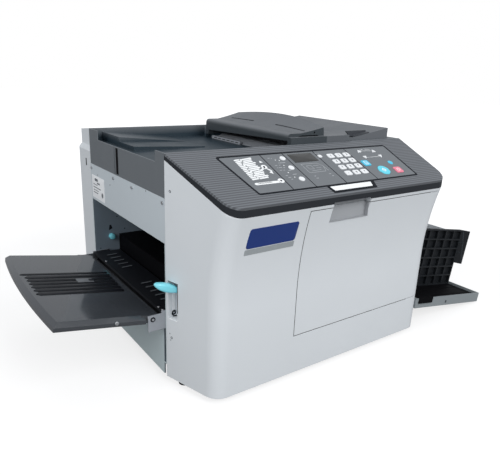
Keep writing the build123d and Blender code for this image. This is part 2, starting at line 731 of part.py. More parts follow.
with BuildPart() as front_cover:
    add(front_outer)
    add(front_inner, mode=Mode.SUBTRACT)
    # Opening for the door, which wraps round the right corner
    slab(
        (DOOR_LEFT - DOOR_GAP, RIGHT + PAST),
        (FRONT - PAST, DOOR_HINGE_Y + DOOR_WALL + DOOR_GAP),
        (DOOR_BOTTOM - DOOR_GAP, DOOR_TOP + DOOR_GAP),
        Mode.SUBTRACT,
    )
    # Ledges above and below the opening take the door's pins
    for low, high in (
        (DOOR_BOTTOM - DOOR_GAP - DOOR_BOSS, DOOR_BOTTOM - DOOR_GAP),
        (DOOR_TOP + DOOR_GAP, DOOR_TOP + DOOR_GAP + DOOR_BOSS),
    ):
        slab(
            (DOOR_HINGE_X - DOOR_BOSS, RIGHT - COVER_WALL / 2),
            (DOOR_HINGE_Y - DOOR_BOSS, DOOR_HINGE_Y + DOOR_BOSS),
            (low, high),
        )
    bore = (DOOR_BOTTOM - DOOR_GAP - DOOR_BOSS, DOOR_TOP + DOOR_GAP + DOOR_BOSS)
    post(DOOR_HINGE_X, DOOR_HINGE_Y, bore, DOOR_PIN_RADIUS + RUNNING, Mode.SUBTRACT)
    # Recess for the lock lever, a cup with its own walls
    add(
        inside_front(
            (LEFT, RECESS_FLOOR_X + RECESS_WALL),
            (RECESS_FRONT - RECESS_WALL, SEAM),
            (RECESS_BOTTOM - RECESS_WALL, RECESS_TOP + RECESS_WALL),
        )
    )
    slab(
        (LEFT - PAST, RECESS_FLOOR_X),
        (RECESS_FRONT, RECESS_REAR),
        (RECESS_BOTTOM, RECESS_TOP),
        Mode.SUBTRACT,
    )
    rod(
        LEVER_X,
        LEVER_PIVOT_HEIGHT,
        (RECESS_FRONT - LEVER_PIN_REACH - RUNNING, RECESS_REAR + LEVER_PIN_REACH + RUNNING),
        LEVER_PIN_RADIUS + RUNNING,
        Mode.SUBTRACT,
    )
    # Finger room above the door's pull cup
    add(inside_front(cup_x, cup_y, (DOOR_TOP + DOOR_GAP, TRIM_REAR_HEIGHT)))
    slab(pull_x, pull_y, (DOOR_TOP, TRIM_REAR_HEIGHT), Mode.SUBTRACT)
    split(bisect_by=TRIM_PLANE, keep=Keep.BOTTOM)
    # Holes that the feet pass through
    for foot_x, foot_y in FOOT_PLACES:
        post(foot_x, foot_y, FOOT_HOLE, FOOT_RADIUS + FOOT_HOLE_GAP, Mode.SUBTRACT)
save(front_cover, "front_cover")

with BuildPart() as front_door:
    add(front_outer)
    add(door_inner, mode=Mode.SUBTRACT)
    slab(
        (DOOR_LEFT, RIGHT + PAST),
        (FRONT - PAST, DOOR_HINGE_Y),
        (DOOR_BOTTOM, DOOR_TOP),
        Mode.INTERSECT,
    )
    # Pull cup behind the top edge
    add(inside_front(cup_x, cup_y, (DOOR_TOP - PULL_HEIGHT - DOOR_WALL, DOOR_TOP)))
    slab(pull_x, pull_y, (DOOR_TOP - PULL_HEIGHT, DOOR_TOP + PAST), Mode.SUBTRACT)
    # Round hinge edge with a pin at each end
    post(DOOR_HINGE_X, DOOR_HINGE_Y, (DOOR_BOTTOM, DOOR_TOP), DOOR_WALL)
    pin = (DOOR_BOTTOM - DOOR_PIN_LENGTH, DOOR_TOP + DOOR_PIN_LENGTH)
    post(DOOR_HINGE_X, DOOR_HINGE_Y, pin, DOOR_PIN_RADIUS)
save(front_door, "front_door")

# Lock lever: a flat finger on a cross pin, growing towards its round tip
with BuildPart() as lock_lever:
    lever_plane = Plane(
        (LEVER_X, (RECESS_FRONT + RECESS_REAR) / 2, LEVER_PIVOT_HEIGHT),
        x_dir=(-cos(radians(LEVER_RISE)), 0, sin(radians(LEVER_RISE))),
        z_dir=(0, 1, 0),
    )
    with BuildSketch(lever_plane.offset(-LEVER_WIDTH / 2)):
        with BuildLine():
            root = LEVER_ROOT / 2
            tip = LEVER_TIP / 2
            nose = (LEVER_LENGTH, 0)
            Line((0, -root), (LEVER_LENGTH - tip, -tip))
            ThreePointArc((LEVER_LENGTH - tip, -tip), nose, (LEVER_LENGTH - tip, tip))
            Line((LEVER_LENGTH - tip, tip), (0, root))
            ThreePointArc((0, root), (-root, 0), (0, -root))
        make_face()
    extrude(amount=LEVER_WIDTH)
    rod(
        LEVER_X,
        LEVER_PIVOT_HEIGHT,
        (RECESS_FRONT - LEVER_PIN_REACH, RECESS_REAR + LEVER_PIN_REACH),
        LEVER_PIN_RADIUS,
    )
save(lock_lever, "lock_lever")


# Operation panel: a sloping plate on a dark skirt
PANEL_SLOPE = atan2(RIM_HEIGHT - PANEL_FRONT_HEIGHT, FRONT_DEPTH)
PANEL_PLANE = Plane(
    (0, FRONT, PANEL_FRONT_HEIGHT),
    x_dir=(1, 0, 0),
    z_dir=(0, -sin(PANEL_SLOPE), cos(PANEL_SLOPE)),
)
CASE_UNDERSIDE = PANEL_PLANE.offset(-CASE_PLATE)


def panel_column(inset):
    """Upright column with the panel's outline in plan, moved inwards by inset."""
    with BuildPart() as column:
        with BuildSketch(Plane.XY) as outline:
            with BuildLine():
                Polyline((LEFT, SEAM), (LEFT + SIDE_SLANT, FRONT), (RIGHT, FRONT), (RIGHT, SEAM), close=True)
            make_face()
            fillet(outline.vertices().group_by(Axis.Y)[0], CORNER_RADIUS)
            offset(amount=-inset)
        extrude(amount=RIM_HEIGHT + FRONT_DEPTH)
    return column.part


panel_outer = panel_column(0)
panel_inner = panel_column(TRIM_WALL)


def key_plan():
    """Every key: name, place on the panel and a function that draws its outline."""
    keys = []
    for index in range(NUMBER_KEY_COLUMNS * NUMBER_KEY_ROWS):
        column, row = index % NUMBER_KEY_COLUMNS, index // NUMBER_KEY_COLUMNS
        place = (
            NUMBER_KEY_X + (column - (NUMBER_KEY_COLUMNS - 1) / 2) * NUMBER_KEY_PITCH_X,
            NUMBER_KEY_Y + ((NUMBER_KEY_ROWS - 1) / 2 - row) * NUMBER_KEY_PITCH_Y,
        )
        keys.append((f"number_key_{index + 1:02d}", place, rounded_key(NUMBER_KEY_WIDTH, NUMBER_KEY_DEPTH)))
    for index, height in enumerate((MODE_KEY_TOP_Y, MODE_KEY_MIDDLE_Y, MODE_KEY_LOW_Y)):
        keys.append((f"mode_key_{index + 1}", (MODE_KEY_X, height), round_key(MODE_KEY_RADIUS)))
    display_place = (DISPLAY_KEY_X, DISPLAY_KEY_Y)
    keys.append(("display_key", display_place, rounded_key(DISPLAY_KEY_WIDTH, DISPLAY_KEY_DEPTH)))
    arrows = (
        ((ARROW_UP_X, ARROW_UP_Y), ARROW_UP_TURN),
        ((ARROW_RIGHT_X, ARROW_RIGHT_Y), ARROW_RIGHT_TURN),
        ((ARROW_LEFT_X, ARROW_LEFT_Y), ARROW_LEFT_TURN),
        ((ARROW_DOWN_X, ARROW_DOWN_Y), ARROW_DOWN_TURN),
    )
    for index, (place, turn) in enumerate(arrows):
        keys.append((f"arrow_key_{index + 1}", place, arrow_key(turn)))
    master_place = (MASTER_KEY_X, MASTER_KEY_Y)
    keys.append(("master_key", master_place, rounded_key(MASTER_KEY_WIDTH, MASTER_KEY_DEPTH)))
    keys.append(("start_key", (START_KEY_X, START_KEY_Y), round_key(START_KEY_RADIUS)))
    stop_place = (STOP_KEY_X, STOP_KEY_Y)
    keys.append(("stop_key", stop_place, rounded_key(STOP_KEY_WIDTH, STOP_KEY_DEPTH)))
    return keys


def rounded_key(width, depth):
    """Outline of a key with round corners, grown by the given margin."""
    def draw(margin):
        RectangleRounded(width + 2 * margin, depth + 2 * margin, KEY_CORNER + margin)
    return draw


def round_key(radius):
    """Outline of a round key, grown by the given margin."""
    def draw(margin):
        Circle(radius + margin)
    return draw


def arrow_key(turn):
    """Outline of a three-cornered key, grown by the given margin."""
    def draw(margin):
        RegularPolygon(ARROW_KEY_RADIUS + 2 * margin, 3, rotation=turn)
    return draw


KEYS = key_plan()


def overlay_outline(margin):
    """Draw the overlay's outline, with its left edge along the panel's slanted side."""
    with BuildLine() as outline:
        Polyline(
            (OVERLAY_REAR_LEFT - margin, OVERLAY_HIGH + margin),
            (OVERLAY_FRONT_LEFT - margin, OVERLAY_LOW - margin),
            (OVERLAY_RIGHT + margin, OVERLAY_LOW - margin),
            (OVERLAY_RIGHT + margin, OVERLAY_HIGH + margin),
            close=True,
        )
    make_face(outline.edges())


with BuildPart() as panel_case:
    add(panel_outer)
    split(bisect_by=PANEL_PLANE, keep=Keep.BOTTOM)
    split(bisect_by=CASE_UNDERSIDE, keep=Keep.TOP)
    with BuildSketch(PANEL_PLANE.offset(-OVERLAY_SHEET)) as recess:
        overlay_outline(SLIP)
        fillet(recess.vertices(), OVERLAY_CORNER + SLIP)
    extrude(amount=OVERLAY_SHEET + PAST, mode=Mode.SUBTRACT)
    for name, place, draw in KEYS:
        with BuildSketch(CASE_UNDERSIDE.offset(-PAST)):
            with Locations(place):
                draw(KEY_GAP)
        extrude(amount=CASE_PLATE + 2 * PAST, mode=Mode.SUBTRACT)
save(panel_case, "panel_case")

with BuildPart() as panel_trim:
    add(panel_outer)
    add(panel_inner, mode=Mode.SUBTRACT)
    split(bisect_by=CASE_UNDERSIDE, keep=Keep.BOTTOM)
    split(bisect_by=TRIM_PLANE, keep=Keep.TOP)
    slab(
        (PULL_LEFT, PULL_LEFT + PULL_WIDTH),
        (FRONT - PAST, FRONT + PULL_DEPTH),
        (TRIM_FRONT_HEIGHT - PAST, TRIM_FRONT_HEIGHT + TRIM_WALL),
        Mode.SUBTRACT,
    )
save(panel_trim, "panel_trim")

with BuildPart() as panel_overlay:
    with BuildSketch(PANEL_PLANE.offset(-OVERLAY_SHEET)) as sheet:
        overlay_outline(0)
        fillet(sheet.vertices(), OVERLAY_CORNER)
    extrude(amount=OVERLAY_SHEET)
    for name, place, draw in KEYS:
        with BuildSketch(PANEL_PLANE.offset(-OVERLAY_SHEET - PAST)):
            with Locations(place):
                draw(KEY_GAP)
        extrude(amount=OVERLAY_SHEET + 2 * PAST, mode=Mode.SUBTRACT)
save(panel_overlay, "panel_overlay")

for name, place, draw in KEYS:
    with BuildPart() as key:
        with BuildSketch(CASE_UNDERSIDE.offset(-SLIP - KEY_FLANGE_THICKNESS)):
            with Locations(place):
                draw(0)
        extrude(amount=SLIP + KEY_FLANGE_THICKNESS + CASE_PLATE + KEY_PROUD)
        with BuildSketch(CASE_UNDERSIDE.offset(-SLIP - KEY_FLANGE_THICKNESS)):
            with Locations(place):
                draw(KEY_FLANGE)
        extrude(amount=KEY_FLANGE_THICKNESS)
    save(key, name)

# Rear cover: a deep shell, narrower at the top, with a cut-out for the inlet
def rear_form(inset, front_edge):
    """The rear cover's form moved inwards by inset, starting at y = front_edge."""
    wide = WIDTH / 2 - REAR_SIDE_INSET - inset
    narrow = WIDTH / 2 - REAR_STEP_INSET - inset
    step_top = REAR_STEP_HEIGHT + REAR_STEP_RISE
    with BuildPart() as form:
        with BuildSketch(Plane.YZ.offset(-wide)):
            with BuildLine():
                Polyline(
                    (front_edge, -COVER_DROP + inset),
                    (BACK - inset, -COVER_DROP + inset),
                    (BACK - inset, RIM_HEIGHT - REAR_TOP_FALL - inset),
                    (front_edge, RIM_HEIGHT - inset),
                    close=True,
                )
            make_face()
        extrude(amount=2 * wide)
        fillet(form.edges().filter_by(Axis.Z).group_by(Axis.Y)[-1], REAR_CORNER - inset)
        with BuildSketch(Plane.XZ.offset(-BACK)):
            with BuildLine():
                Polyline(
                    (-wide, -COVER_DROP),
                    (-wide, REAR_STEP_HEIGHT),
                    (-narrow, step_top),
                    (-narrow, RIM_HEIGHT),
                    (narrow, RIM_HEIGHT),
                    (narrow, step_top),
                    (wide, REAR_STEP_HEIGHT),
                    (wide, -COVER_DROP),
                    close=True,
                )
            make_face()
        extrude(amount=BACK - front_edge, mode=Mode.INTERSECT)
    return form.part


INLET_CUT_X = (INLET_X - INLET_WIDTH / 2 - SLIP, INLET_X + INLET_WIDTH / 2 + SLIP)
INLET_CUT_Z = (INLET_HEIGHT - INLET_TALL / 2 - SLIP, INLET_HEIGHT + INLET_TALL / 2 + SLIP)

with BuildPart() as rear_cover:
    add(rear_form(0, REAR))
    add(rear_form(REAR_SKIN, REAR - PAST), mode=Mode.SUBTRACT)
    slab(INLET_CUT_X, (BACK - REAR_SKIN - PAST, BACK + PAST), INLET_CUT_Z, Mode.SUBTRACT)
    for foot_x, foot_y in FOOT_PLACES:
        post(foot_x, foot_y, FOOT_HOLE, FOOT_RADIUS + FOOT_HOLE_GAP, Mode.SUBTRACT)
save(rear_cover, "rear_cover")

# Power inlet with three contact pins in its socket
with BuildPart() as power_inlet:
    socket_wall = INLET_FLANGE_SHEET + SLIP
    with Locations((INLET_X, BACK - INLET_DEPTH / 2, INLET_HEIGHT)):
        Box(INLET_WIDTH, INLET_DEPTH, INLET_TALL)
    with Locations((INLET_X, BACK + INLET_FLANGE_SHEET / 2, INLET_HEIGHT)):
        Box(INLET_WIDTH + 2 * INLET_FLANGE, INLET_FLANGE_SHEET, INLET_TALL + 2 * INLET_FLANGE)
    slab(
        (INLET_X - INLET_WIDTH / 2 + socket_wall, INLET_X + INLET_WIDTH / 2 - socket_wall),
        (BACK - INLET_DEPTH + socket_wall, BACK + INLET_FLANGE_SHEET + PAST),
        (INLET_HEIGHT - INLET_TALL / 2 + socket_wall, INLET_HEIGHT + INLET_TALL / 2 - socket_wall),
        Mode.SUBTRACT,
    )
    with Locations((INLET_X, BACK - INLET_DEPTH + INLET_PIN_REACH / 2, INLET_HEIGHT)):
        with GridLocations(INLET_PIN_PITCH, 1, 3, 1):
            Box(INLET_PIN_WIDTH, INLET_PIN_REACH, INLET_PIN_TALL)
save(power_inlet, "power_inlet")

# Right cover with the delivery mouth and a small box behind the power switch
SWITCH_X = RIGHT - SWITCH_INSET
SWITCH_ROOM = SWITCH_HALF + SWITCH_GAP
SWITCH_CHEEK = SWITCH_WIDTH / 2 + SWITCH_SIDE_GAP
SCREW_COVER_PLACES = [
    (end * (CORE_DEPTH / 2 - SCREW_COVER_INSET), height)
    for end in (-1, 1)
    for height in (SCREW_COVER_LOW, HOUSING_BOTTOM - SCREW_COVER_DROP)
]

with BuildPart() as right_cover:
    slab((RIGHT - RIGHT_SKIN, RIGHT), (SEAM, REAR), (-COVER_DROP, HOUSING_BOTTOM))
    slab(
        (RIGHT - RIGHT_SKIN - PAST, RIGHT + PAST),
        (SEAM + DELIVERY_MOUTH_INSET, REAR - DELIVERY_MOUTH_INSET),
        (DELIVERY_MOUTH_BOTTOM, DELIVERY_MOUTH_TOP),
        Mode.SUBTRACT,
    )
    box_half = SWITCH_CHEEK + SWITCH_BOX_WALL
    box_room = SWITCH_ROOM + SWITCH_BOX_WALL
    slab(
        (RIGHT - SWITCH_BOX_DEPTH, RIGHT),
        (SWITCH_Y - box_half, SWITCH_Y + box_half),
        (SWITCH_HEIGHT - box_room, SWITCH_HEIGHT + box_room),
    )
    slab(
        (RIGHT - SWITCH_BOX_DEPTH + SWITCH_BOX_WALL, RIGHT + PAST),
        (SWITCH_Y - SWITCH_CHEEK, SWITCH_Y + SWITCH_CHEEK),
        (SWITCH_HEIGHT - SWITCH_ROOM, SWITCH_HEIGHT + SWITCH_ROOM),
        Mode.SUBTRACT,
    )
    pin_half = SWITCH_CHEEK + SWITCH_PIN_LENGTH + RUNNING
    rod(
        SWITCH_X,
        SWITCH_HEIGHT,
        (SWITCH_Y - pin_half, SWITCH_Y + pin_half),
        SWITCH_PIN_RADIUS + RUNNING,
        Mode.SUBTRACT,
    )
    with BuildSketch(Plane.YZ.offset(RIGHT)):
        with Locations(SCREW_COVER_PLACES):
            Circle(SCREW_HOLE_RADIUS)
    extrude(amount=-RIGHT_SKIN, mode=Mode.SUBTRACT)
save(right_cover, "right_cover")

# Power switch: a rocker with a dipped face on a cross pin
with BuildPart() as power_switch:
    with BuildSketch(Plane.XZ.offset(-SWITCH_Y - SWITCH_WIDTH / 2)):
        with BuildLine():
            rocker_low = (SWITCH_X, SWITCH_HEIGHT - SWITCH_HALF)
            rocker_high = (SWITCH_X, SWITCH_HEIGHT + SWITCH_HALF)
            Polyline(
                rocker_low,
                (SWITCH_X + SWITCH_CROWN, SWITCH_HEIGHT - SWITCH_HALF),
                (SWITCH_X + SWITCH_DIP, SWITCH_HEIGHT),
                (SWITCH_X + SWITCH_CROWN, SWITCH_HEIGHT + SWITCH_HALF),
                rocker_high,
            )
            ThreePointArc(rocker_high, (SWITCH_X - SWITCH_HALF, SWITCH_HEIGHT), rocker_low)
        make_face()
    extrude(amount=SWITCH_WIDTH)
    pin_half = SWITCH_CHEEK + SWITCH_PIN_LENGTH
    rod(SWITCH_X, SWITCH_HEIGHT, (SWITCH_Y - pin_half, SWITCH_Y + pin_half), SWITCH_PIN_RADIUS)
save(power_switch, "power_switch")

# Cover screws, the same pan-head screw at every hole
with BuildPart() as screws:
    panel_places = [(place, SCREW_PANEL_HEIGHT) for place in SCREW_PANEL_PLACES]
    for side, outward, places in ((LEFT, -1, panel_places), (RIGHT, 1, SCREW_COVER_PLACES)):
        with BuildSketch(Plane.YZ.offset(side)):
            with Locations(places):
                Circle(SCREW_HEAD_RADIUS)
        extrude(amount=outward * SCREW_HEAD_HEIGHT)
        with BuildSketch(Plane.YZ.offset(side)):
            with Locations(places):
                Circle(SCREW_SHANK_RADIUS)
        extrude(amount=-outward * SCREW_SHANK_LENGTH)
save(screws, "screws")

# Print drum on its shaft, a closed hollow cylinder
with BuildPart() as print_drum:
    drum_end = DRUM_LENGTH / 2
    rod(DRUM_X, DRUM_HEIGHT, (-drum_end, drum_end), DRUM_RADIUS)
    rod(
        DRUM_X,
        DRUM_HEIGHT,
        (-drum_end + DRUM_WALL, drum_end - DRUM_WALL),
        DRUM_RADIUS - DRUM_WALL,
        Mode.SUBTRACT,
    )
    rod(DRUM_X, DRUM_HEIGHT, (SEAM - HOLDER_SHEET, REAR), DRUM_SHAFT_RADIUS)
save(print_drum, "print_drum")

# Drum holder: round plate over the drum's way out, with a handle bar
HOLDER_RADIUS = DRUM_RADIUS + DRUM_DOOR_GAP + HOLDER_LIP

with BuildPart() as drum_holder:
    rod(DRUM_X, DRUM_HEIGHT, (SEAM - HOLDER_SHEET, SEAM), HOLDER_RADIUS)
    handle_z = (DRUM_HEIGHT - HANDLE_DROP - HANDLE_BAR, DRUM_HEIGHT - HANDLE_DROP)
    handle_front = SEAM - HOLDER_SHEET - HANDLE_REACH
    slab(
        (DRUM_X - HANDLE_WIDTH / 2, DRUM_X + HANDLE_WIDTH / 2),
        (handle_front, SEAM - HOLDER_SHEET),
        handle_z,
    )
    slab(
        (DRUM_X - HANDLE_WIDTH / 2 + HANDLE_BAR, DRUM_X + HANDLE_WIDTH / 2 - HANDLE_BAR),
        (handle_front + HANDLE_BAR, SEAM - HOLDER_SHEET),
        handle_z,
        Mode.SUBTRACT,
    )
    rod(
        DRUM_X,
        DRUM_HEIGHT,
        (SEAM - HOLDER_SHEET - PAST, SEAM + PAST),
        DRUM_SHAFT_RADIUS + RUNNING,
        Mode.SUBTRACT,
    )
save(drum_holder, "drum_holder")

# Rollers that run in both frame plates: name, x, z, radius, length, shaft radius
ROLLERS = (
    ("press_roller", DRUM_X, PRESS_HEIGHT, PRESS_RADIUS, PRESS_LENGTH, PRESS_SHAFT_RADIUS),
    ("master_roll", MASTER_X, MASTER_HEIGHT, MASTER_RADIUS, MASTER_LENGTH, MASTER_SHAFT_RADIUS),
    ("pickup_roller", PICKUP_X, PICKUP_HEIGHT, PICKUP_RADIUS, PICKUP_WIDTH, PICKUP_SHAFT_RADIUS),
)

for name, x, z, radius, length, shaft_radius in ROLLERS:
    with BuildPart() as roller:
        rod(x, z, (-length / 2, length / 2), radius)
        rod(x, z, (SEAM + SLIP, REAR - SLIP), shaft_radius)
    save(roller, name)

with BuildPart() as thermal_head:
    slab(
        (HEAD_X - HEAD_WIDTH / 2, HEAD_X + HEAD_WIDTH / 2),
        (PLATE_FRONT_IN, PLATE_REAR_IN),
        (HEAD_BOTTOM, HEAD_BOTTOM + HEAD_HEIGHT),
    )
save(thermal_head, "thermal_head")

# Drive motor: square flange on the rear plate and a round can
with BuildPart() as drive_motor:
    with Locations((MOTOR_X, REAR + MOTOR_FLANGE_SHEET / 2, MOTOR_HEIGHT)):
        Box(MOTOR_FLANGE, MOTOR_FLANGE_SHEET, MOTOR_FLANGE)
    rod(MOTOR_X, MOTOR_HEIGHT, (REAR, REAR + MOTOR_LENGTH), MOTOR_RADIUS)
save(drive_motor, "drive_motor")

# Feed guide: upright paper stop, a flat top and a slope down to the drum's nip
with BuildPart() as feed_guide:
    stop = STOP_PLATE_X
    flat_end = STOP_PLATE_X + GUIDE_FLAT
    with BuildSketch(Plane.XZ.offset(-PLATE_FRONT_IN)):
        with BuildLine():
            Polyline(
                (stop, FRAME_SHEET),
                (stop, GUIDE_TOP),
                (flat_end, GUIDE_TOP),
                (GUIDE_END_X, GUIDE_END_HEIGHT),
                (GUIDE_END_X, GUIDE_END_HEIGHT - GUIDE_SHEET),
                (flat_end - GUIDE_SHEET / 2, GUIDE_TOP - GUIDE_SHEET),
                (stop + GUIDE_SHEET, GUIDE_TOP - GUIDE_SHEET),
                (stop + GUIDE_SHEET, FRAME_SHEET),
                close=True,
            )
        make_face()
    extrude(amount=PLATE_FRONT_IN - PLATE_REAR_IN)
save(feed_guide, "feed_guide")

# Separation knob: round cap in the feed mouth, its shaft in the rear plate
with BuildPart() as separation_knob:
    knob_rear = PLATE_REAR_IN - SEAT_GAP
    rod(KNOB_X, KNOB_HEIGHT, (knob_rear - KNOB_LENGTH, knob_rear), KNOB_RADIUS)
    rod(KNOB_X, KNOB_HEIGHT, (knob_rear, REAR - SLIP), KNOB_SHAFT_RADIUS)
save(separation_knob, "separation_knob")

# Feed table: ribbed plate with a bracket at each end for the tray's pivots
TABLE_LEFT = LEFT - TABLE_LIP
TABLE_RIGHT = STOP_PLATE_X - TABLE_STOP_GAP
BRACKET_HALF = PLATE_REAR_IN - TABLE_SIDE_GAP
TRAY_HINGE_X = LEFT - TRAY_HINGE_OUT
TRAY_HINGE_Z = TABLE_TOP - TRAY_HINGE_DROP

with BuildPart() as feed_table:
    table_half = BRACKET_HALF - BRACKET_SHEET
    slab((TABLE_LEFT, TABLE_RIGHT), (-table_half, table_half), (TABLE_TOP - TABLE_THICKNESS, TABLE_TOP))
    for end in (-1, 1):
        bracket_y = sorted((end * table_half, end * BRACKET_HALF))
        slab(
            (LEFT - BRACKET_LEFT, LEFT + BRACKET_INNER),
            bracket_y,
            (TABLE_TOP - TABLE_THICKNESS - BRACKET_HEIGHT, TABLE_TOP - TABLE_THICKNESS),
        )
        slab((TABLE_LEFT, TABLE_RIGHT), bracket_y, (TABLE_TOP - TABLE_THICKNESS, TABLE_TOP))
        bore_y = sorted((end * (table_half - PAST), end * (BRACKET_HALF + PAST)))
        rod(TRAY_HINGE_X, TRAY_HINGE_Z, bore_y, TRAY_PIN_RADIUS + RUNNING, Mode.SUBTRACT)
        rib_middle = ((TABLE_LEFT + TABLE_RIGHT) / 2, end * TABLE_RIB_CENTRE)
        with Locations((*rib_middle, TABLE_TOP + TABLE_RIB_HEIGHT / 2)):
            with GridLocations(1, TABLE_RIB_PITCH, 1, TABLE_RIB_COUNT):
                Box(TABLE_RIB_LENGTH, TABLE_RIB_WIDTH, TABLE_RIB_HEIGHT)
    # Notch that lets the table rise past the separation knob
    slab(
        (KNOB_X - KNOB_RADIUS - KNOB_CLEARANCE, TABLE_RIGHT + PAST),
        (PLATE_REAR_IN - KNOB_LENGTH - KNOB_CLEARANCE, PLATE_REAR_IN),
        (TABLE_TOP - TABLE_THICKNESS - PAST, TABLE_TOP + PAST),
        Mode.SUBTRACT,
    )
save(feed_table, "feed_table")

# Feed tray: bevelled shell with a bowed outer edge that folds up about its two pins
TRAY_PLANE = Plane(
    (TRAY_HINGE_X, 0, TRAY_HINGE_Z),
    x_dir=(-cos(radians(TRAY_TILT)), 0, sin(radians(TRAY_TILT))),
    z_dir=(sin(radians(TRAY_TILT)), 0, cos(radians(TRAY_TILT))),
)
TRAY_HALF = BRACKET_HALF + TRAY_OVERHANG
NECK_HALF = BRACKET_HALF - BRACKET_SHEET - TRAY_SIDE_GAP
# The wide part of the tray starts past the top corner of the brackets, so that it swings clear
BRACKET_CORNER = sqrt((BRACKET_LEFT - TRAY_HINGE_OUT) ** 2 + (TRAY_HINGE_DROP - TABLE_THICKNESS) ** 2)


def tray_block(u, half, w, mode=Mode.ADD):
    """Add or cut a box in the tray's own plane, over the pairs u and w, half wide each way."""
    middle = TRAY_PLANE * Pos((u[0] + u[1]) / 2, 0, (w[0] + w[1]) / 2)
    with Locations(middle):
        Box(u[1] - u[0], 2 * half, w[1] - w[0], mode=mode)


with BuildPart() as feed_tray:
    neck_end = BRACKET_CORNER + TRAY_NECK_GAP
    with BuildSketch(TRAY_PLANE.offset(-TRAY_BELOW)):
        with BuildLine():
            bow = ThreePointArc(
                (TRAY_LENGTH, -TRAY_HALF),
                (TRAY_LENGTH + TRAY_BOW, 0),
                (TRAY_LENGTH, TRAY_HALF),
            )
            Polyline(bow @ 1, (neck_end, TRAY_HALF), (neck_end, -TRAY_HALF), bow @ 0)
        make_face()
    extrude(amount=TRAY_BELOW + TRAY_ABOVE)
    upward = Axis(TRAY_PLANE.origin, TRAY_PLANE.z_dir)
    chamfer(feed_tray.faces().sort_by(upward)[-1].edges(), TRAY_BEVEL)
    tray_block((-TRAY_TAIL, neck_end + TRAY_BEVEL + PAST), NECK_HALF, (-TRAY_BELOW, TRAY_ABOVE))
    tray_block(
        (-TRAY_TAIL + TRAY_SHEET, TRAY_LENGTH - TRAY_BEVEL - TRAY_SHEET),
        NECK_HALF - TRAY_BEVEL,
        (-TRAY_BELOW, TRAY_ABOVE - TRAY_SHEET),
        Mode.SUBTRACT,
    )
    middle = TRAY_PLANE * Pos(TRAY_RIB_START + TRAY_RIB_LENGTH / 2, 0, TRAY_ABOVE + TRAY_RIB_HEIGHT / 2)
    with Locations(middle):
        with GridLocations(1, TRAY_RIB_PITCH, 1, TRAY_RIB_COUNT):
            Box(TRAY_RIB_LENGTH, TRAY_RIB_WIDTH, TRAY_RIB_HEIGHT)
    for end in (-1, 1):
        rod(
            TRAY_HINGE_X,
            TRAY_HINGE_Z,
            sorted((end * (NECK_HALF - PAST), end * BRACKET_HALF)),
            TRAY_PIN_RADIUS,
        )
save(feed_tray, "feed_tray")

# Scan unit: glass bar bed with a ramp down into the basin
with BuildPart() as scan_unit:
    unit_top = BASIN_FLOOR + SCAN_UNIT_HEIGHT
    unit_front = LID_FRONT + LID_END_WALL + SCAN_UNIT_END_GAP
    unit_rear = LID_REAR - LID_END_WALL - SCAN_UNIT_END_GAP
    with BuildSketch(Plane.XZ.offset(-unit_front)):
        with BuildLine():
            Polyline(
                (EXIT_RAMP_LEFT, BASIN_FLOOR),
                (EXIT_RAMP_LEFT, BASIN_FLOOR + EXIT_RAMP_LOW),
                (SCAN_UNIT_LEFT, unit_top),
                (SCAN_UNIT_LEFT + SCAN_UNIT_WIDTH, unit_top),
                (SCAN_UNIT_LEFT + SCAN_UNIT_WIDTH, BASIN_FLOOR),
                close=True,
            )
        make_face()
    extrude(amount=unit_front - unit_rear)
save(scan_unit, "scan_unit")

# Feeder lid: rises from a round left edge to a sharp crest, then drops to a low deck on the right
SCAN_ROLLER_Z = BASIN_FLOOR + SCAN_UNIT_HEIGHT + NIP_GAP + SCAN_ROLLER_RADIUS
LID_STATIONS = (
    (LID_FRONT + LID_END_WALL, LID_CREST_FRONT),
    (LID_FRONT + LID_END_WALL + LID_CREST_RUN, LID_CREST_MIDDLE),
    (LID_REAR - LID_CREST_RUN, LID_CREST_MIDDLE),
    (LID_REAR, LID_CREST_REAR),
)

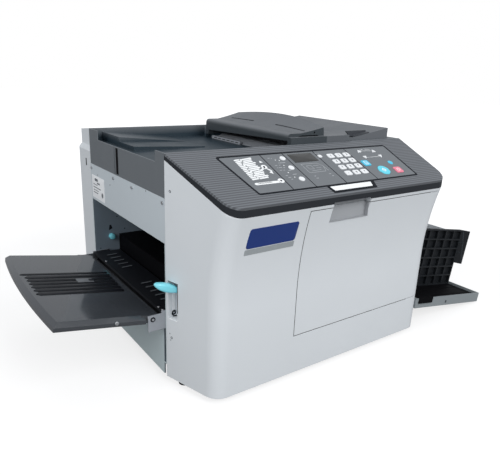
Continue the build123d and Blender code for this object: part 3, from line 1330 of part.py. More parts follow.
with BuildPart() as feeder_lid:
    for station, crest in LID_STATIONS:
        with BuildSketch(Plane.XZ.offset(-station)):
            with BuildLine():
                side = Line((LID_LEFT, LID_SIDE_BOTTOM), (LID_LEFT, LID_LEFT_EDGE - LID_EDGE_ROUND))
                shoulder = TangentArc(side @ 1, (LID_LEFT + LID_EDGE_ROUND, LID_LEFT_EDGE), tangent=(0, 1))
                brow = Line(shoulder @ 1, (LID_SLOPE_X, LID_LEFT_EDGE))
                middle = (
                    (LID_SLOPE_X + LID_CREST_X) / 2,
                    LID_LEFT_EDGE + LID_SLOPE_SHARE * (crest - LID_LEFT_EDGE),
                )
                rise = ThreePointArc(brow @ 1, middle, (LID_CREST_X, crest))
                Polyline(
                    rise @ 1,
                    (LID_CREST_X + LID_CREST_DRAFT, LID_RIGHT_EDGE),
                    (LID_RIGHT, LID_RIGHT_EDGE),
                    (LID_RIGHT, LID_SIDE_BOTTOM),
                    side @ 0,
                )
            make_face()
    loft()
    slab(
        (LID_LEFT, LID_RIGHT),
        (LID_FRONT, LID_FRONT + LID_END_WALL),
        (LID_SIDE_BOTTOM, LID_LEDGE_HEIGHT),
    )
    with BuildSketch(Plane.XZ.offset(-LID_FRONT - LID_END_WALL)):
        with BuildLine():
            Polyline(
                (LID_LEFT + LID_WALL, LID_SIDE_BOTTOM - PAST),
                (LID_LEFT + LID_WALL, LID_LIP),
                (SCAN_UNIT_LEFT, LID_ROOF),
                (SCAN_UNIT_LEFT + LID_ROOF_RUN, LID_ROOF),
                (LID_CREST_X, LID_LIP),
                (LID_RIGHT + PAST, LID_LIP),
                (LID_RIGHT + PAST, LID_SIDE_BOTTOM - PAST),
                close=True,
            )
        make_face()
    extrude(amount=LID_FRONT - LID_REAR + 2 * LID_END_WALL, mode=Mode.SUBTRACT)
    with BuildSketch(Plane.YZ.offset(LID_LEFT - PAST)):
        with BuildLine():
            Polyline(
                (LID_FRONT + LID_END_WALL, LID_SIDE_BOTTOM - PAST),
                (LID_FRONT + LID_END_WALL, LID_EXIT_FRONT),
                (LID_REAR - LID_END_WALL, LID_EXIT_REAR),
                (LID_REAR - LID_END_WALL, LID_SIDE_BOTTOM - PAST),
                close=True,
            )
        make_face()
    extrude(amount=LID_WALL + 2 * PAST, mode=Mode.SUBTRACT)
    for slot_y in LID_SLOTS:
        slab(
            (LID_SLOT_X - LID_SLOT_WIDTH / 2, LID_SLOT_X + LID_SLOT_WIDTH / 2),
            slot_y,
            (LID_SLOT_BOTTOM, LID_CREST_MIDDLE),
            Mode.SUBTRACT,
        )
    port_y = (LID_FRONT + LID_END_WALL - PAST, LID_FRONT + LID_END_WALL + LID_WALL)
    rod(LID_PORT_X, LID_PORT_HEIGHT, port_y, LID_PORT_RADIUS, Mode.SUBTRACT)
    for wall_y in (
        (LID_FRONT - PAST, LID_FRONT + LID_END_WALL + PAST),
        (LID_REAR - LID_END_WALL - PAST, LID_REAR + PAST),
    ):
        rod(LID_HINGE_X, LID_HINGE_HEIGHT, wall_y, LID_PIN_RADIUS + RUNNING, Mode.SUBTRACT)
    # Blind bearings for the roller's shaft in both end walls
    bearing = SCAN_ROLLER_REACH + SLIP
    for bearing_y in (
        (LID_FRONT + LID_END_WALL - bearing, LID_FRONT + LID_END_WALL + PAST),
        (LID_REAR - LID_END_WALL - PAST, LID_REAR - LID_END_WALL + bearing),
    ):
        rod(SCAN_ROLLER_X, SCAN_ROLLER_Z, bearing_y, SCAN_ROLLER_SHAFT + RUNNING, Mode.SUBTRACT)
save(feeder_lid, "feeder_lid")

with BuildPart() as original_roller:
    roller_y = (LID_FRONT + LID_END_WALL + SEAT_GAP, LID_REAR - LID_END_WALL - SEAT_GAP)
    rod(SCAN_ROLLER_X, SCAN_ROLLER_Z, roller_y, SCAN_ROLLER_RADIUS)
    shaft_y = (
        LID_FRONT + LID_END_WALL - SCAN_ROLLER_REACH,
        LID_REAR - LID_END_WALL + SCAN_ROLLER_REACH,
    )
    rod(SCAN_ROLLER_X, SCAN_ROLLER_Z, shaft_y, SCAN_ROLLER_SHAFT)
save(original_roller, "original_roller")

# Original table: a wedge on the deck, rising to the right
with BuildPart() as original_table:
    with BuildSketch(Plane.XZ.offset(ORIGINAL_TABLE_HALF - ORIGINAL_CENTRE)):
        with BuildLine():
            Polyline(
                (ORIGINAL_TABLE_LEFT, RIM_HEIGHT),
                (ORIGINAL_TABLE_LEFT, RIM_HEIGHT + ORIGINAL_TABLE_LOW),
                (ORIGINAL_TABLE_RIGHT, RIM_HEIGHT + ORIGINAL_TABLE_HIGH),
                (ORIGINAL_TABLE_RIGHT, RIM_HEIGHT),
                close=True,
            )
        make_face()
    extrude(amount=-2 * ORIGINAL_TABLE_HALF)
save(original_table, "original_table")

# Original fences: two pointed guides with a level top that slide on the table
TABLE_RUN = ORIGINAL_TABLE_RIGHT - ORIGINAL_TABLE_LEFT
TABLE_SLOPE = atan2(ORIGINAL_TABLE_HIGH - ORIGINAL_TABLE_LOW, TABLE_RUN)
TABLE_PLANE = Plane(
    (ORIGINAL_TABLE_LEFT, ORIGINAL_CENTRE, RIM_HEIGHT + ORIGINAL_TABLE_LOW),
    x_dir=(cos(TABLE_SLOPE), 0, sin(TABLE_SLOPE)),
    z_dir=(-sin(TABLE_SLOPE), 0, cos(TABLE_SLOPE)),
)

for name, end in (("original_fence_front", -1), ("original_fence_rear", 1)):
    with BuildPart() as fence:
        with Locations(
            TABLE_PLANE
            * Pos(
                FENCE_START + FENCE_LENGTH / 2,
                end * (FENCE_SPREAD + FENCE_BASE / 2),
                SEAT_GAP + FENCE_BASE_SHEET / 2,
            )
        ):
            Box(FENCE_LENGTH, FENCE_BASE, FENCE_BASE_SHEET)
        foot, heel = (
            TABLE_PLANE.from_local_coords((along, 0, SEAT_GAP + FENCE_BASE_SHEET / 2))
            for along in (FENCE_START, FENCE_START + FENCE_LENGTH)
        )
        near_y, far_y = sorted(ORIGINAL_CENTRE + end * (FENCE_SPREAD + out) for out in (0, FENCE_WALL))
        with BuildSketch(Plane.XZ.offset(-near_y)):
            with BuildLine():
                Polyline(
                    (foot.X, foot.Z),
                    (foot.X - FENCE_POINT, RIM_HEIGHT + FENCE_TOP_RISE),
                    (heel.X, RIM_HEIGHT + FENCE_TOP_RISE),
                    (heel.X, heel.Z),
                    close=True,
                )
            make_face()
        extrude(amount=near_y - far_y)
    save(fence, name)

# Delivery tray: a shallow box hung on the right side, sloping down to the right
DELIVERY_PLANE = Plane(
    (RIGHT, 0, DELIVERY_TOP),
    x_dir=(cos(radians(DELIVERY_TILT)), 0, -sin(radians(DELIVERY_TILT))),
    z_dir=(sin(radians(DELIVERY_TILT)), 0, cos(radians(DELIVERY_TILT))),
)
DELIVERY_WEB = DELIVERY_POCKET + DELIVERY_FLOOR_SHEET


def delivery_block(u, y, w, mode=Mode.ADD):
    """Add or cut a box in the delivery tray's own plane, over the pairs u, y and w."""
    middle = DELIVERY_PLANE * Pos((u[0] + u[1]) / 2, (y[0] + y[1]) / 2, (w[0] + w[1]) / 2)
    with Locations(middle):
        Box(u[1] - u[0], y[1] - y[0], w[1] - w[0], mode=mode)


inner_u = (DELIVERY_WALL + DELIVERY_HEIGHT / 4, DELIVERY_LENGTH - DELIVERY_WALL)
inner_y = (DELIVERY_FRONT + DELIVERY_WALL, DELIVERY_REAR - DELIVERY_WALL)

with BuildPart() as delivery_tray:
    outer_u = (-DELIVERY_HEIGHT, DELIVERY_LENGTH)
    delivery_block(outer_u, (DELIVERY_FRONT, DELIVERY_REAR), (-DELIVERY_HEIGHT, 0))
    delivery_block(inner_u, inner_y, (-DELIVERY_WEB, PAST), Mode.SUBTRACT)
    underside_w = (-DELIVERY_HEIGHT - PAST, -DELIVERY_WEB - DELIVERY_WALL)
    delivery_block(inner_u, inner_y, underside_w, Mode.SUBTRACT)
    split(bisect_by=Plane.YZ.offset(RIGHT), keep=Keep.TOP)
save(delivery_tray, "delivery_tray")

# Ribbed floor of the delivery tray, with a clip over the front wall
with BuildPart() as delivery_tray_floor:
    floor_u = (inner_u[0] + SLIP, inner_u[1] - SLIP)
    floor_y = (inner_y[0] + SLIP, inner_y[1] - SLIP)
    delivery_block(floor_u, floor_y, (-DELIVERY_WEB, -DELIVERY_POCKET))
    groove_count = int((floor_y[1] - floor_y[0]) / DELIVERY_GROOVE_PITCH)
    groove_w = (-DELIVERY_POCKET - DELIVERY_GROOVE_DEPTH, -DELIVERY_POCKET)
    for index in range(groove_count):
        groove = floor_y[0] + DELIVERY_GROOVE_PITCH * (index + 1 / 2)
        delivery_block(
            (floor_u[0], floor_u[1]),
            (groove, groove + DELIVERY_GROOVE_WIDTH),
            groove_w,
            Mode.SUBTRACT,
        )
    clip_u = (CLIP_START, CLIP_START + CLIP_WIDTH)
    clip_inner = floor_y[0] + CLIP_SHEET
    clip_outer = DELIVERY_FRONT - SLIP - CLIP_SHEET
    delivery_block(clip_u, (floor_y[0], clip_inner), (-DELIVERY_POCKET - DELIVERY_FLOOR_SHEET / 2, SLIP))
    delivery_block(clip_u, (clip_outer, clip_inner), (SLIP, SLIP + CLIP_SHEET))
    delivery_block(clip_u, (clip_outer, DELIVERY_FRONT - SLIP), (-CLIP_DROP, SLIP + CLIP_SHEET))
save(delivery_tray_floor, "delivery_tray_floor")

# Side fences on the delivery tray: waffle plates with ribs and a wing that flares outwards
FENCE_LOW = -DELIVERY_POCKET + SEAT_GAP

for name, end in (("delivery_fence_front", -1), ("delivery_fence_rear", 1)):
    near = end * SIDE_FENCE_SPREAD
    skin_y = sorted((near, near + end * SIDE_FENCE_SHEET))
    rib_y = sorted((near, near + end * SIDE_FENCE_DEPTH))
    with BuildPart() as side_fence:
        delivery_block((SIDE_FENCE_START, SIDE_FENCE_END), skin_y, (FENCE_LOW, SIDE_FENCE_TOP))
        column_pitch = (SIDE_FENCE_END - SIDE_FENCE_START - SIDE_FENCE_RIB) / (SIDE_FENCE_COLUMNS - 1)
        for index in range(SIDE_FENCE_COLUMNS):
            rib = SIDE_FENCE_START + index * column_pitch
            delivery_block((rib, rib + SIDE_FENCE_RIB), rib_y, (FENCE_LOW, SIDE_FENCE_TOP))
        row_pitch = (SIDE_FENCE_TOP - FENCE_LOW - SIDE_FENCE_RIB) / (SIDE_FENCE_ROWS - 1)
        for index in range(SIDE_FENCE_ROWS):
            rib = FENCE_LOW + index * row_pitch
            delivery_block((SIDE_FENCE_START, SIDE_FENCE_END), rib_y, (rib, rib + SIDE_FENCE_RIB))
        with BuildSketch(DELIVERY_PLANE.offset(SIDE_FENCE_WING_START)):
            with BuildLine():
                Polyline(
                    (SIDE_FENCE_END - 2 * SIDE_FENCE_SHEET, near),
                    (SIDE_FENCE_END, near),
                    (SIDE_FENCE_END + SIDE_FENCE_FLARE, near + end * SIDE_FENCE_WING),
                    (SIDE_FENCE_END + SIDE_FENCE_FLARE - 2 * SIDE_FENCE_SHEET, near + end * SIDE_FENCE_WING),
                    close=True,
                )
            make_face()
        extrude(amount=SIDE_FENCE_TOP - SIDE_FENCE_WING_START)
    save(side_fence, name)

# End fence: upright plate across the tray with a foot towards the machine
with BuildPart() as end_fence:
    fence_u = (inner_u[1] - SEAT_GAP - END_FENCE_SHEET, inner_u[1] - SEAT_GAP)
    delivery_block(fence_u, (-END_FENCE_HALF, END_FENCE_HALF), (FENCE_LOW, END_FENCE_TOP))
    delivery_block(
        (fence_u[0] - END_FENCE_FOOT, fence_u[1]),
        (-END_FENCE_FOOT_HALF, END_FENCE_FOOT_HALF),
        (FENCE_LOW, FENCE_LOW + END_FENCE_SHEET),
    )
save(end_fence, "end_fence")
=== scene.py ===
"""Looks of a desktop digital duplicator, laid over its CAD frame."""

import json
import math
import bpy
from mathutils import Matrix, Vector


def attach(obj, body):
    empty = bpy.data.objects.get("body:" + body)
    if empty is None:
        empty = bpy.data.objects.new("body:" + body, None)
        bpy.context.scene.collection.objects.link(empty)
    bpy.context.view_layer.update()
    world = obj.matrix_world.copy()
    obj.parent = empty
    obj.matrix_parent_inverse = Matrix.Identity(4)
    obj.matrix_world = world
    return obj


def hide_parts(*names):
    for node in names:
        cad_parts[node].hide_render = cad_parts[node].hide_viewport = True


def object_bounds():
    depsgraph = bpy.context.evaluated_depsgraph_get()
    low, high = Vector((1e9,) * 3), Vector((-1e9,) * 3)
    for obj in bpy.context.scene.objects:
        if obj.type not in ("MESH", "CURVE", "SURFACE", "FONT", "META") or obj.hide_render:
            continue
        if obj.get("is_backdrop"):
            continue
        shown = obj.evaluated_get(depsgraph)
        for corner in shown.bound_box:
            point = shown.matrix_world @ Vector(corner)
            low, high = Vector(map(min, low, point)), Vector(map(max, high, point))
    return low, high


bl_info = {
    "name": "Digital duplicator looks",
    "version": (1, 0, 0),
    "blender": (4, 5, 0),
    "location": "View3D > Sidebar > Duplicator",
    "description": "Finishes, key caps, printed panel and small fittings of a desktop duplicator",
    "category": "Add Mesh",
}

from functools import partial

import bmesh
import bpy
import numpy as np
from mathutils import Matrix, Vector

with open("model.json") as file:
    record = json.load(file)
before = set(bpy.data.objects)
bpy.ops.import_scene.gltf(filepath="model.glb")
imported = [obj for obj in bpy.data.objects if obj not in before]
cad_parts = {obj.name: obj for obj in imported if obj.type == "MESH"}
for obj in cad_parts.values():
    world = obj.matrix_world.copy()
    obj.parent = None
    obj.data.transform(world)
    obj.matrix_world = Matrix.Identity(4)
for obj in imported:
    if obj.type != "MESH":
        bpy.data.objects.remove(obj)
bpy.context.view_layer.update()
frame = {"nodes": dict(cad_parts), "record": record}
NODES = frame["nodes"]
SLOT_OF_NODE = {row["node"]: row["material_slot"] for row in frame["record"]["subparts"]}

MM = 0.001

# Sizes of the CAD frame that the pieces are fitted to, in millimetres

# Sloping panel: its front edge, the heights of both edges and its run; keys by their (u, v) on it
PANEL_FRONT, PANEL_LOW, PANEL_HIGH, PANEL_RUN = -356.5, 358.0, 431.0, 154.0
SLOPE = math.atan2(PANEL_HIGH - PANEL_LOW, PANEL_RUN)
KEY_TOP, KEY_BOTTOM = 1.6, -5.7
MASTER_KEY, START_KEY, STOP_KEY = (123.7, 86.5), (153.2, 56.8), (196.4, 52.7)

# Curved front, which leans by one arc, and the left side with its slant before the seam
LEAN_START, LEAN_BACK, LEAN_HEIGHT = 162.0, 26.0, 178.0
LEAN_RADIUS = (LEAN_BACK**2 + LEAN_HEIGHT**2) / (2 * LEAN_BACK)
LEFT, SEAM, SIDE_SLANT = -320.0, -202.5, 47.0

# Planes where a finish changes: wall, basin, deck of the lid (past it the lid's upright faces lose
# their painted shade), bracket of the table
LOW_WALL_FACE = 319.4
BASIN_LEFT, BASIN_LOW, BASIN_RIM = -317.5, 411.0, 430.5
LID_DECK = 80.0
BRACKET_BEGIN = 196.6

# Feed tray, feed table, plate behind them and knob
TRAY_TILT = math.radians(9.9)
TRAY_HINGE = (-347.0, 107.5)
TRAY_TOP = 8.3
TABLE_TOP, TABLE_RIB_TOP, TABLE_EDGE = 121.0, 122.2, -320.3
BRACKET_FACE, PLATE_FACE = -199.2, 199.5
KNOB_AXIS = (-277.0, 0.0, 155.0)

# Lock lever, its recess, the door pull and the faces at the rear and at the delivery tray
LEVER_PIVOT = (-305.0, -220.0, 171.0)
LEVER_RISE = math.radians(20.6)
RECESS_WALL, RECESS_FLOOR = -208.0, 107.0
PULL_BACK, PULL_RIGHT, PULL_FLOOR = -340.5, 65.0, 302.0
REAR_SIDE, DELIVERY_FRONT = -318.0, -318.0

# How far prints and thin plates sink into the face under them, and how far the thinnest stand out
SUNK = -0.05
MARK = 0.06
# Thickness of the sheets of painted shade in the door pull
PULL_SHADE_THICK = 0.3


def colour_field(name, text, default):
    """A colour that a user can change."""
    return bpy.props.FloatVectorProperty(
        name=name, description=text, default=default, size=3, min=0.0, max=1.0, subtype="COLOR"
    )


def length_field(name, text, default):
    """A length in millimetres that a user can change."""
    return bpy.props.FloatProperty(name=name, description=text, default=default, min=0.0, unit="NONE")


def power_field(name, text, default):
    """The power of a light that a user can change."""
    return bpy.props.FloatProperty(name=name, description=text, default=default, min=0.0, unit="POWER")


class DuplicatorColours(bpy.types.PropertyGroup):
    """Colours of the finishes"""

    cover_grey: colour_field("Covers", "Light grey moulded covers", (0.735, 0.768, 0.795))
    frame_steel: colour_field("Frame", "Coated sheet of the frame", (0.20, 0.25, 0.30))
    wall_grey: colour_field("Low wall", "Outer face of the low left wall", (0.56, 0.65, 0.67))
    side_grey: colour_field("Upper panel", "Painted sheet over the feed mouth", (0.60, 0.66, 0.70))
    housing_grey: colour_field("Housing", "Scanner housing", (0.145, 0.16, 0.175))
    basin_blue: colour_field("Basin", "Floor and low slopes of the basin", (0.02, 0.036, 0.05))
    panel_grey: colour_field("Panel", "Ridged panel case", (0.125, 0.134, 0.148))
    trim_navy: colour_field("Trim", "Dark skirt under the panel", (0.018, 0.021, 0.026))
    overlay_grey: colour_field("Overlay", "Printed film on the panel", (0.165, 0.178, 0.192))
    # Also the painted highlight on the table's rib tops
    lid_grey: colour_field("Lid", "Feeder lid and original table", (0.13, 0.14, 0.154))
    # Painted shade on the lid's upright faces; also the plain dark grey of the fence ribs and the
    # delivery mark
    lid_side: colour_field("Lid sides", "Upright faces of the lid, fence ribs", (0.042, 0.052, 0.06))
    black_plastic: colour_field("Black", "Black inner pieces", (0.008, 0.009, 0.012))
    dark_plastic: colour_field("Guides", "Original fences", (0.05, 0.055, 0.065))
    fence_black: colour_field("Fences", "Delivery fences", (0.011, 0.013, 0.016))
    tray_gloss: colour_field("Feed tray", "Glossy feed tray", (0.045, 0.05, 0.058))
    lever_blue: colour_field("Lever", "Light blue lever and knob", (0.24, 0.77, 0.89))
    roller_rubber: colour_field("Rollers", "Ground rubber rollers", (0.03, 0.03, 0.035))
    drum_screen: colour_field("Drum", "Screen round the drum", (0.08, 0.10, 0.14))
    master_film: colour_field("Master roll", "Film on its roll", (0.70, 0.69, 0.64))
    bright_steel: colour_field("Steel", "Screws and motor", (0.60, 0.61, 0.63))
    foot_rubber: colour_field("Feet", "Rubber feet", (0.02, 0.02, 0.022))
    key_white: colour_field("White keys", "Number, mode and arrow keys", (0.84, 0.86, 0.88))
    key_teal: colour_field("Master key", "Square teal key", (0.08, 0.58, 0.82))
    key_red: colour_field("Stop key", "Square red key", (0.88, 0.25, 0.34))
    key_grey: colour_field("Start key", "Round light blue key", (0.14, 0.70, 0.86))
    print_white: colour_field("White print", "Diagram and bars on the overlay", (0.90, 0.92, 0.93))
    print_grey: colour_field("Grey print", "Small marks on the overlay", (0.42, 0.44, 0.46))
    # Also the painted shadow at the lever's recess and the painted shade in the lid's slots
    print_dark: colour_field("Dark print", "Outlines and rules", (0.008, 0.01, 0.014))
    display_dark: colour_field("Display", "Window of the display", (0.03, 0.03, 0.028))
    badge_blue: colour_field("Badge", "Bare plate on the front", (0.014, 0.04, 0.20))
    strip_silver: colour_field("Strip", "Bare strip under the badge", (0.34, 0.37, 0.385))
    # Also the painted light on the floor and wall of the lever's recess
    label_white: colour_field("Label", "Bare label on the left", (0.93, 0.95, 0.97))
    # Painted shade in the door pull
    shade_grey: colour_field("Pull", "Lining of the door pull", (0.37, 0.385, 0.405))
    delivery_grey: colour_field("Delivery", "Coated sheet of the delivery tray", (0.27, 0.30, 0.315))
    # Also the painted shade in the gap of the housing
    deep_black: colour_field("Deep black", "Guides in the feed mouth, seams", (0.003, 0.003, 0.004))
    bracket_grey: colour_field("Brackets", "Table brackets, scan unit, exit guide", (0.33, 0.35, 0.38))


class DuplicatorSizes(bpy.types.PropertyGroup):
    """Sizes of the prints and small pieces, in millimetres"""

    ridge_pitch: length_field("Ridge pitch", "Distance between two ridges of the panel case", 6.0)
    outline_width: length_field("Outline", "Width of the dark outline of the overlay", 4.5)
    rule_width: length_field("Rules", "Width of the rules between the fields", 2.0)
    print_height: length_field("Print", "Height of a printed mark", 0.15)
    cap_edge: length_field("Cap edge", "Rounding along the top of a key cap", 0.9)
    cap_dish: length_field("Cap dish", "Depth of the hollow in a key cap", 0.35)
    digit_size: length_field("Digits", "Height of the digits on the number keys", 8.0)
    plate_height: length_field("Plates", "Thickness of badge, strip and label", 0.7)


class DuplicatorStage(bpy.types.PropertyGroup):
    """Lights, floor and lens"""

    world_strength: bpy.props.FloatProperty(
        name="World", description="Strength of the even light from all round", default=0.50, min=0.0
    )
    key_power: power_field("Key", "Power of the soft light in front", 54.0)
    side_power: power_field("Side", "Power of the soft light on the left", 31.0)
    top_power: power_field("Top", "Power of the soft light above", 6.0)
    floor_glow: bpy.props.FloatProperty(
        name="Floor", description="Whiteness added to the floor as it is seen", default=0.75, min=0.0
    )
    lens: bpy.props.FloatProperty(
        name="Lens", description="Focal length of the camera in millimetres", default=36.84, min=1.0
    )


# Shapes worked out with numpy


def on_panel(u, v, h):
    """Point on the sloping panel: u to the right, v up the slope from its front edge, h out of it."""
    return np.stack(
        [
            u + 0 * v,
            PANEL_FRONT + v * math.cos(SLOPE) - h * math.sin(SLOPE),
            PANEL_LOW + v * math.sin(SLOPE) + h * math.cos(SLOPE),
        ],
        axis=-1,
    )


def on_front(x, z, h):
    """Point on the curved front: upright to where the lean starts, then one arc that leans forward.

    The depth at height z is the upright face less radius minus the root of radius squared less
    rise squared, and h stands out of it towards -y.
    """
    rise = np.clip(z - LEAN_START, 0.0, None)
    depth = PANEL_FRONT + LEAN_BACK - (LEAN_RADIUS - np.sqrt(LEAN_RADIUS**2 - rise**2))
    return np.stack([x + 0 * z, depth - h, z + 0 * x], axis=-1)


def on_side(face):
    """Places points on an upright face that looks to the left, h out of it."""
    return lambda y, z, h: np.stack([face - h + 0 * y, y + 0 * z, z + 0 * y], axis=-1)


on_left = on_side(LEFT)


def on_slant(y, z, h):
    """Point on the slanted left side of the front cover, h out of it along its normal."""
    slant = math.hypot(PANEL_RUN, SIDE_SLANT)
    x = LEFT + SIDE_SLANT * (SEAM - y) / PANEL_RUN
    return np.stack([x - h * PANEL_RUN / slant, y - h * SIDE_SLANT / slant, z + 0 * y], axis=-1)


def on_tray(s, y, h):
    """Point on the feed tray: s out from its pivot, h above its top face."""
    w = TRAY_TOP + h
    return np.stack(
        [
            TRAY_HINGE[0] - s * math.cos(TRAY_TILT) + w * math.sin(TRAY_TILT),
            y + 0 * s,
            TRAY_HINGE[1] + s * math.sin(TRAY_TILT) + w * math.cos(TRAY_TILT),
        ],
        axis=-1,
    )


def on_level(height):
    """Places points on a level face at the given height, h above it."""
    return lambda x, y, h: np.stack([x + 0 * y, y + 0 * x, height + h], axis=-1)


def on_wall(depth):
    """Places points on an upright face that looks to the front, h out of it."""
    return lambda x, z, h: np.stack([x + 0 * z, depth - h, z + 0 * x], axis=-1)


def round_outline(corners, radius, count=96):
    """Closed outline of a convex polygon, corners counter-clockwise.

    Every point is the centre of the nearest round corner plus radius times the unit vector at
    its own angle, so straight edges fall between two corners.
    """
    corners = np.asarray(corners, float)
    ahead = np.roll(corners, -1, axis=0) - corners
    normal = np.stack([ahead[:, 1], -ahead[:, 0]], axis=1)
    normal /= np.linalg.norm(normal, axis=1)[:, None]
    before = np.roll(normal, 1, axis=0)
    share = 1.0 + (normal * before).sum(axis=1)
    centres = corners - radius * (normal + before) / share[:, None]
    facing = np.arctan2(normal[:, 1], normal[:, 0]) % (2 * math.pi)
    angle = (np.arange(count) + 0.5) * 2 * math.pi / count
    order = np.argsort(facing)
    pick = order[np.searchsorted(facing[order], angle) % len(corners)]
    unit = np.stack([np.cos(angle), np.sin(angle)], axis=1)
    return centres[pick] + radius * unit


def box_corners(u, v):
    """The four corners of the rectangle over the (low, high) pairs u and v."""
    return [(u[0], v[0]), (u[1], v[0]), (u[1], v[1]), (u[0], v[1])]


def circle_outline(centre, radius, count=40):
    """Circle as centre plus radius times cosine and sine."""
    angle = np.arange(count) * 2 * math.pi / count
    return np.stack([centre[0] + radius * np.cos(angle), centre[1] + radius * np.sin(angle)], axis=1)


def bar_outline(centre, length, width, turn=0.0, corner=0.4, count=20):
    """Bar with round corners about its centre, turned by an angle in degrees."""
    flat = round_outline(
        box_corners((-length / 2, length / 2), (-width / 2, width / 2)),
        corner * min(length, width),
        count,
    )
    cosine, sine = math.cos(math.radians(turn)), math.sin(math.radians(turn))
    return np.asarray(centre) + flat @ np.array([[cosine, sine], [-sine, cosine]])


def line_outline(begin, end, width):
    """Thin bar from one point to another."""
    begin, end = np.asarray(begin, float), np.asarray(end, float)
    run = end - begin
    turn = math.degrees(math.atan2(run[1], run[0]))
    return bar_outline((begin + end) / 2, float(np.hypot(*run)) + width, width, turn, 0.2, 12)


def grid_faces(rows, columns, wrap):
    """Quads between neighbouring points of a grid whose columns close round, rows too with wrap."""
    i = np.arange(rows if wrap else rows - 1)
    j = np.arange(columns)
    i, j = np.meshgrid(i, j, indexing="ij")
    i, j = i.ravel(), j.ravel()
    i2, j2 = (i + 1) % rows, (j + 1) % columns
    return np.stack([i * columns + j, i * columns + j2, i2 * columns + j2, i2 * columns + j], axis=1)


def ring_mesh(rings, wrap=False):
    """Closed skin over a stack of closed rings: quads between rings, a fan to the middle at each end.

    With wrap the last ring joins the first, as on a frame or a tube bent round.
    """
    rings = np.asarray(rings, float)
    rows, columns = rings.shape[:2]
    points = rings.reshape(-1, 3)
    quads = grid_faces(rows, columns, wrap)
    fans = np.zeros((0, 3), int)
    if not wrap:
        points = np.concatenate([points, rings[0].mean(0)[None], rings[-1].mean(0)[None]])
        j = np.arange(columns)
        ahead = (j + 1) % columns
        base = (rows - 1) * columns
        foot, top = np.full(columns, rows * columns), np.full(columns, rows * columns + 1)
        fans = np.concatenate(
            [np.stack([ahead, j, foot], axis=1), np.stack([base + j, base + ahead, top], axis=1)]
        )
    return points, quads, fans


def turned_inside_out(points, quads, fans):
    """True where the signed volume, summed over triangles from the middle, is below nought."""
    centred = points - points.mean(0)
    corners = np.concatenate([quads[:, [0, 1, 2]], quads[:, [0, 2, 3]], fans])
    a, b, c = (centred[corners[:, k]] for k in range(3))
    return float(np.einsum("ij,ij->i", a, np.cross(b, c)).sum()) < 0


def make_piece(name, skins, material, body, replaces=(), smooth=35.0):
    """One object from closed skins given in millimetres, faces turned outwards."""
    points, faces, offset = [], [], 0
    for skin_points, quads, fans in skins:
        turned = turned_inside_out(skin_points, quads, fans)
        for group in (quads, fans):
            group = group[:, ::-1] if turned else group
            faces.extend((group + offset).tolist())
        points.append(skin_points)
        offset += len(skin_points)
    mesh = bpy.data.meshes.new(name)
    mesh.from_pydata((np.concatenate(points) * MM).tolist(), [], faces)
    mesh.validate()
    mesh.shade_smooth()
    mesh.set_sharp_from_angle(angle=math.radians(smooth))
    made = bpy.data.objects.new(name, mesh)
    bpy.context.scene.collection.objects.link(made)
    mesh.materials.append(material)
    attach(made, body)
    if replaces:
        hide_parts(*replaces)


def raised(outline, place, low, high, edge=0.0, dish=0.0):
    """Skin of a raised shape: its outline carried up by height, drawn in over a rounded edge.

    Over the edge the inset is edge times one minus cosine and the rise edge times sine. Inside,
    the top sinks by dish times one minus the square of the distance from the middle.
    """
    outline = np.asarray(outline, float)
    middle = outline.mean(0)
    reach = np.abs(outline - middle).max()
    steps = [(0.0, low), (0.0, high - edge)]
    if edge > 0:
        turn = np.linspace(0.2, 1.0, 5) * math.pi / 2
        steps += [(edge * (1 - math.cos(t)), high - edge + edge * math.sin(t)) for t in turn]
    rings = []
    for inset, height in steps:
        ring = middle + (outline - middle) * (1.0 - inset / reach)
        rings.append(place(ring[:, 0], ring[:, 1], np.full(len(ring), height)))
    for scale in (0.66, 0.33) if dish else ():
        ring = middle + (outline - middle) * scale
        rings.append(place(ring[:, 0], ring[:, 1], np.full(len(ring), high - dish * (1 - scale**2))))
    return ring_mesh(rings)


def all_raised(outlines, place, low, high, edge=0.0):
    """One raised skin for each outline."""
    return [raised(outline, place, low, high, edge) for outline in outlines]


def frame_skin(outer, inner, place, low, high):
    """Skin of a flat frame between two outlines with the same number of points."""
    rings = []
    for outline, height in ((outer, low), (outer, high), (inner, high), (inner, low)):
        rings.append(place(outline[:, 0], outline[:, 1], np.full(len(outline), height)))
    return ring_mesh(rings, wrap=True)


def turned_skin(profile, centre, count=48):
    """Skin of a piece turned about an axis along y: each (y, radius) of the profile is a circle.

    The circle is radius times sine across and radius times cosine upwards from the centre.
    """
    angle = np.arange(count) * 2 * math.pi / count
    depth, radius = np.asarray(profile, float).T
    run = np.repeat(depth[:, None], count, axis=1)
    across, above = radius[:, None] * np.sin(angle), radius[:, None] * np.cos(angle)
    return ring_mesh(np.stack([across, run, above], axis=-1) + np.asarray(centre, float))


def printed_sign(sign, size, centre, place, low, high):
    """Skin of a printed digit or mark from Blender's own font, laid on a face by its place function."""
    curve = bpy.data.curves.new("sign", "FONT")
    curve.body = sign
    curve.size = size
    curve.extrude = 0.5
    curve.resolution_u = 3
    curve.align_x = "CENTER"
    curve.align_y = "CENTER"
    holder = bpy.data.objects.new("sign", curve)
    flat = bpy.data.meshes.new_from_object(holder)
    work = bmesh.new()
    work.from_mesh(flat)
    bmesh.ops.remove_doubles(work, verts=work.verts, dist=size * 0.0005)
    bmesh.ops.triangulate(work, faces=work.faces)
    bmesh.ops.recalc_face_normals(work, faces=work.faces)
    work.to_mesh(flat)
    work.free()
    points = np.empty(len(flat.vertices) * 3)
    flat.vertices.foreach_get("co", points)
    points = points.reshape(-1, 3)
    corners = np.empty(len(flat.polygons) * 3, int)
    flat.polygons.foreach_get("vertices", corners)
    height = low + (points[:, 2] + 0.5) * (high - low)
    points = place(centre[0] + points[:, 0], centre[1] + points[:, 1], height)
    bpy.data.objects.remove(holder)
    bpy.data.curves.remove(curve)
    bpy.data.meshes.remove(flat)
    return points, np.zeros((0, 4), int), corners.reshape(-1, 3)


# Finishes


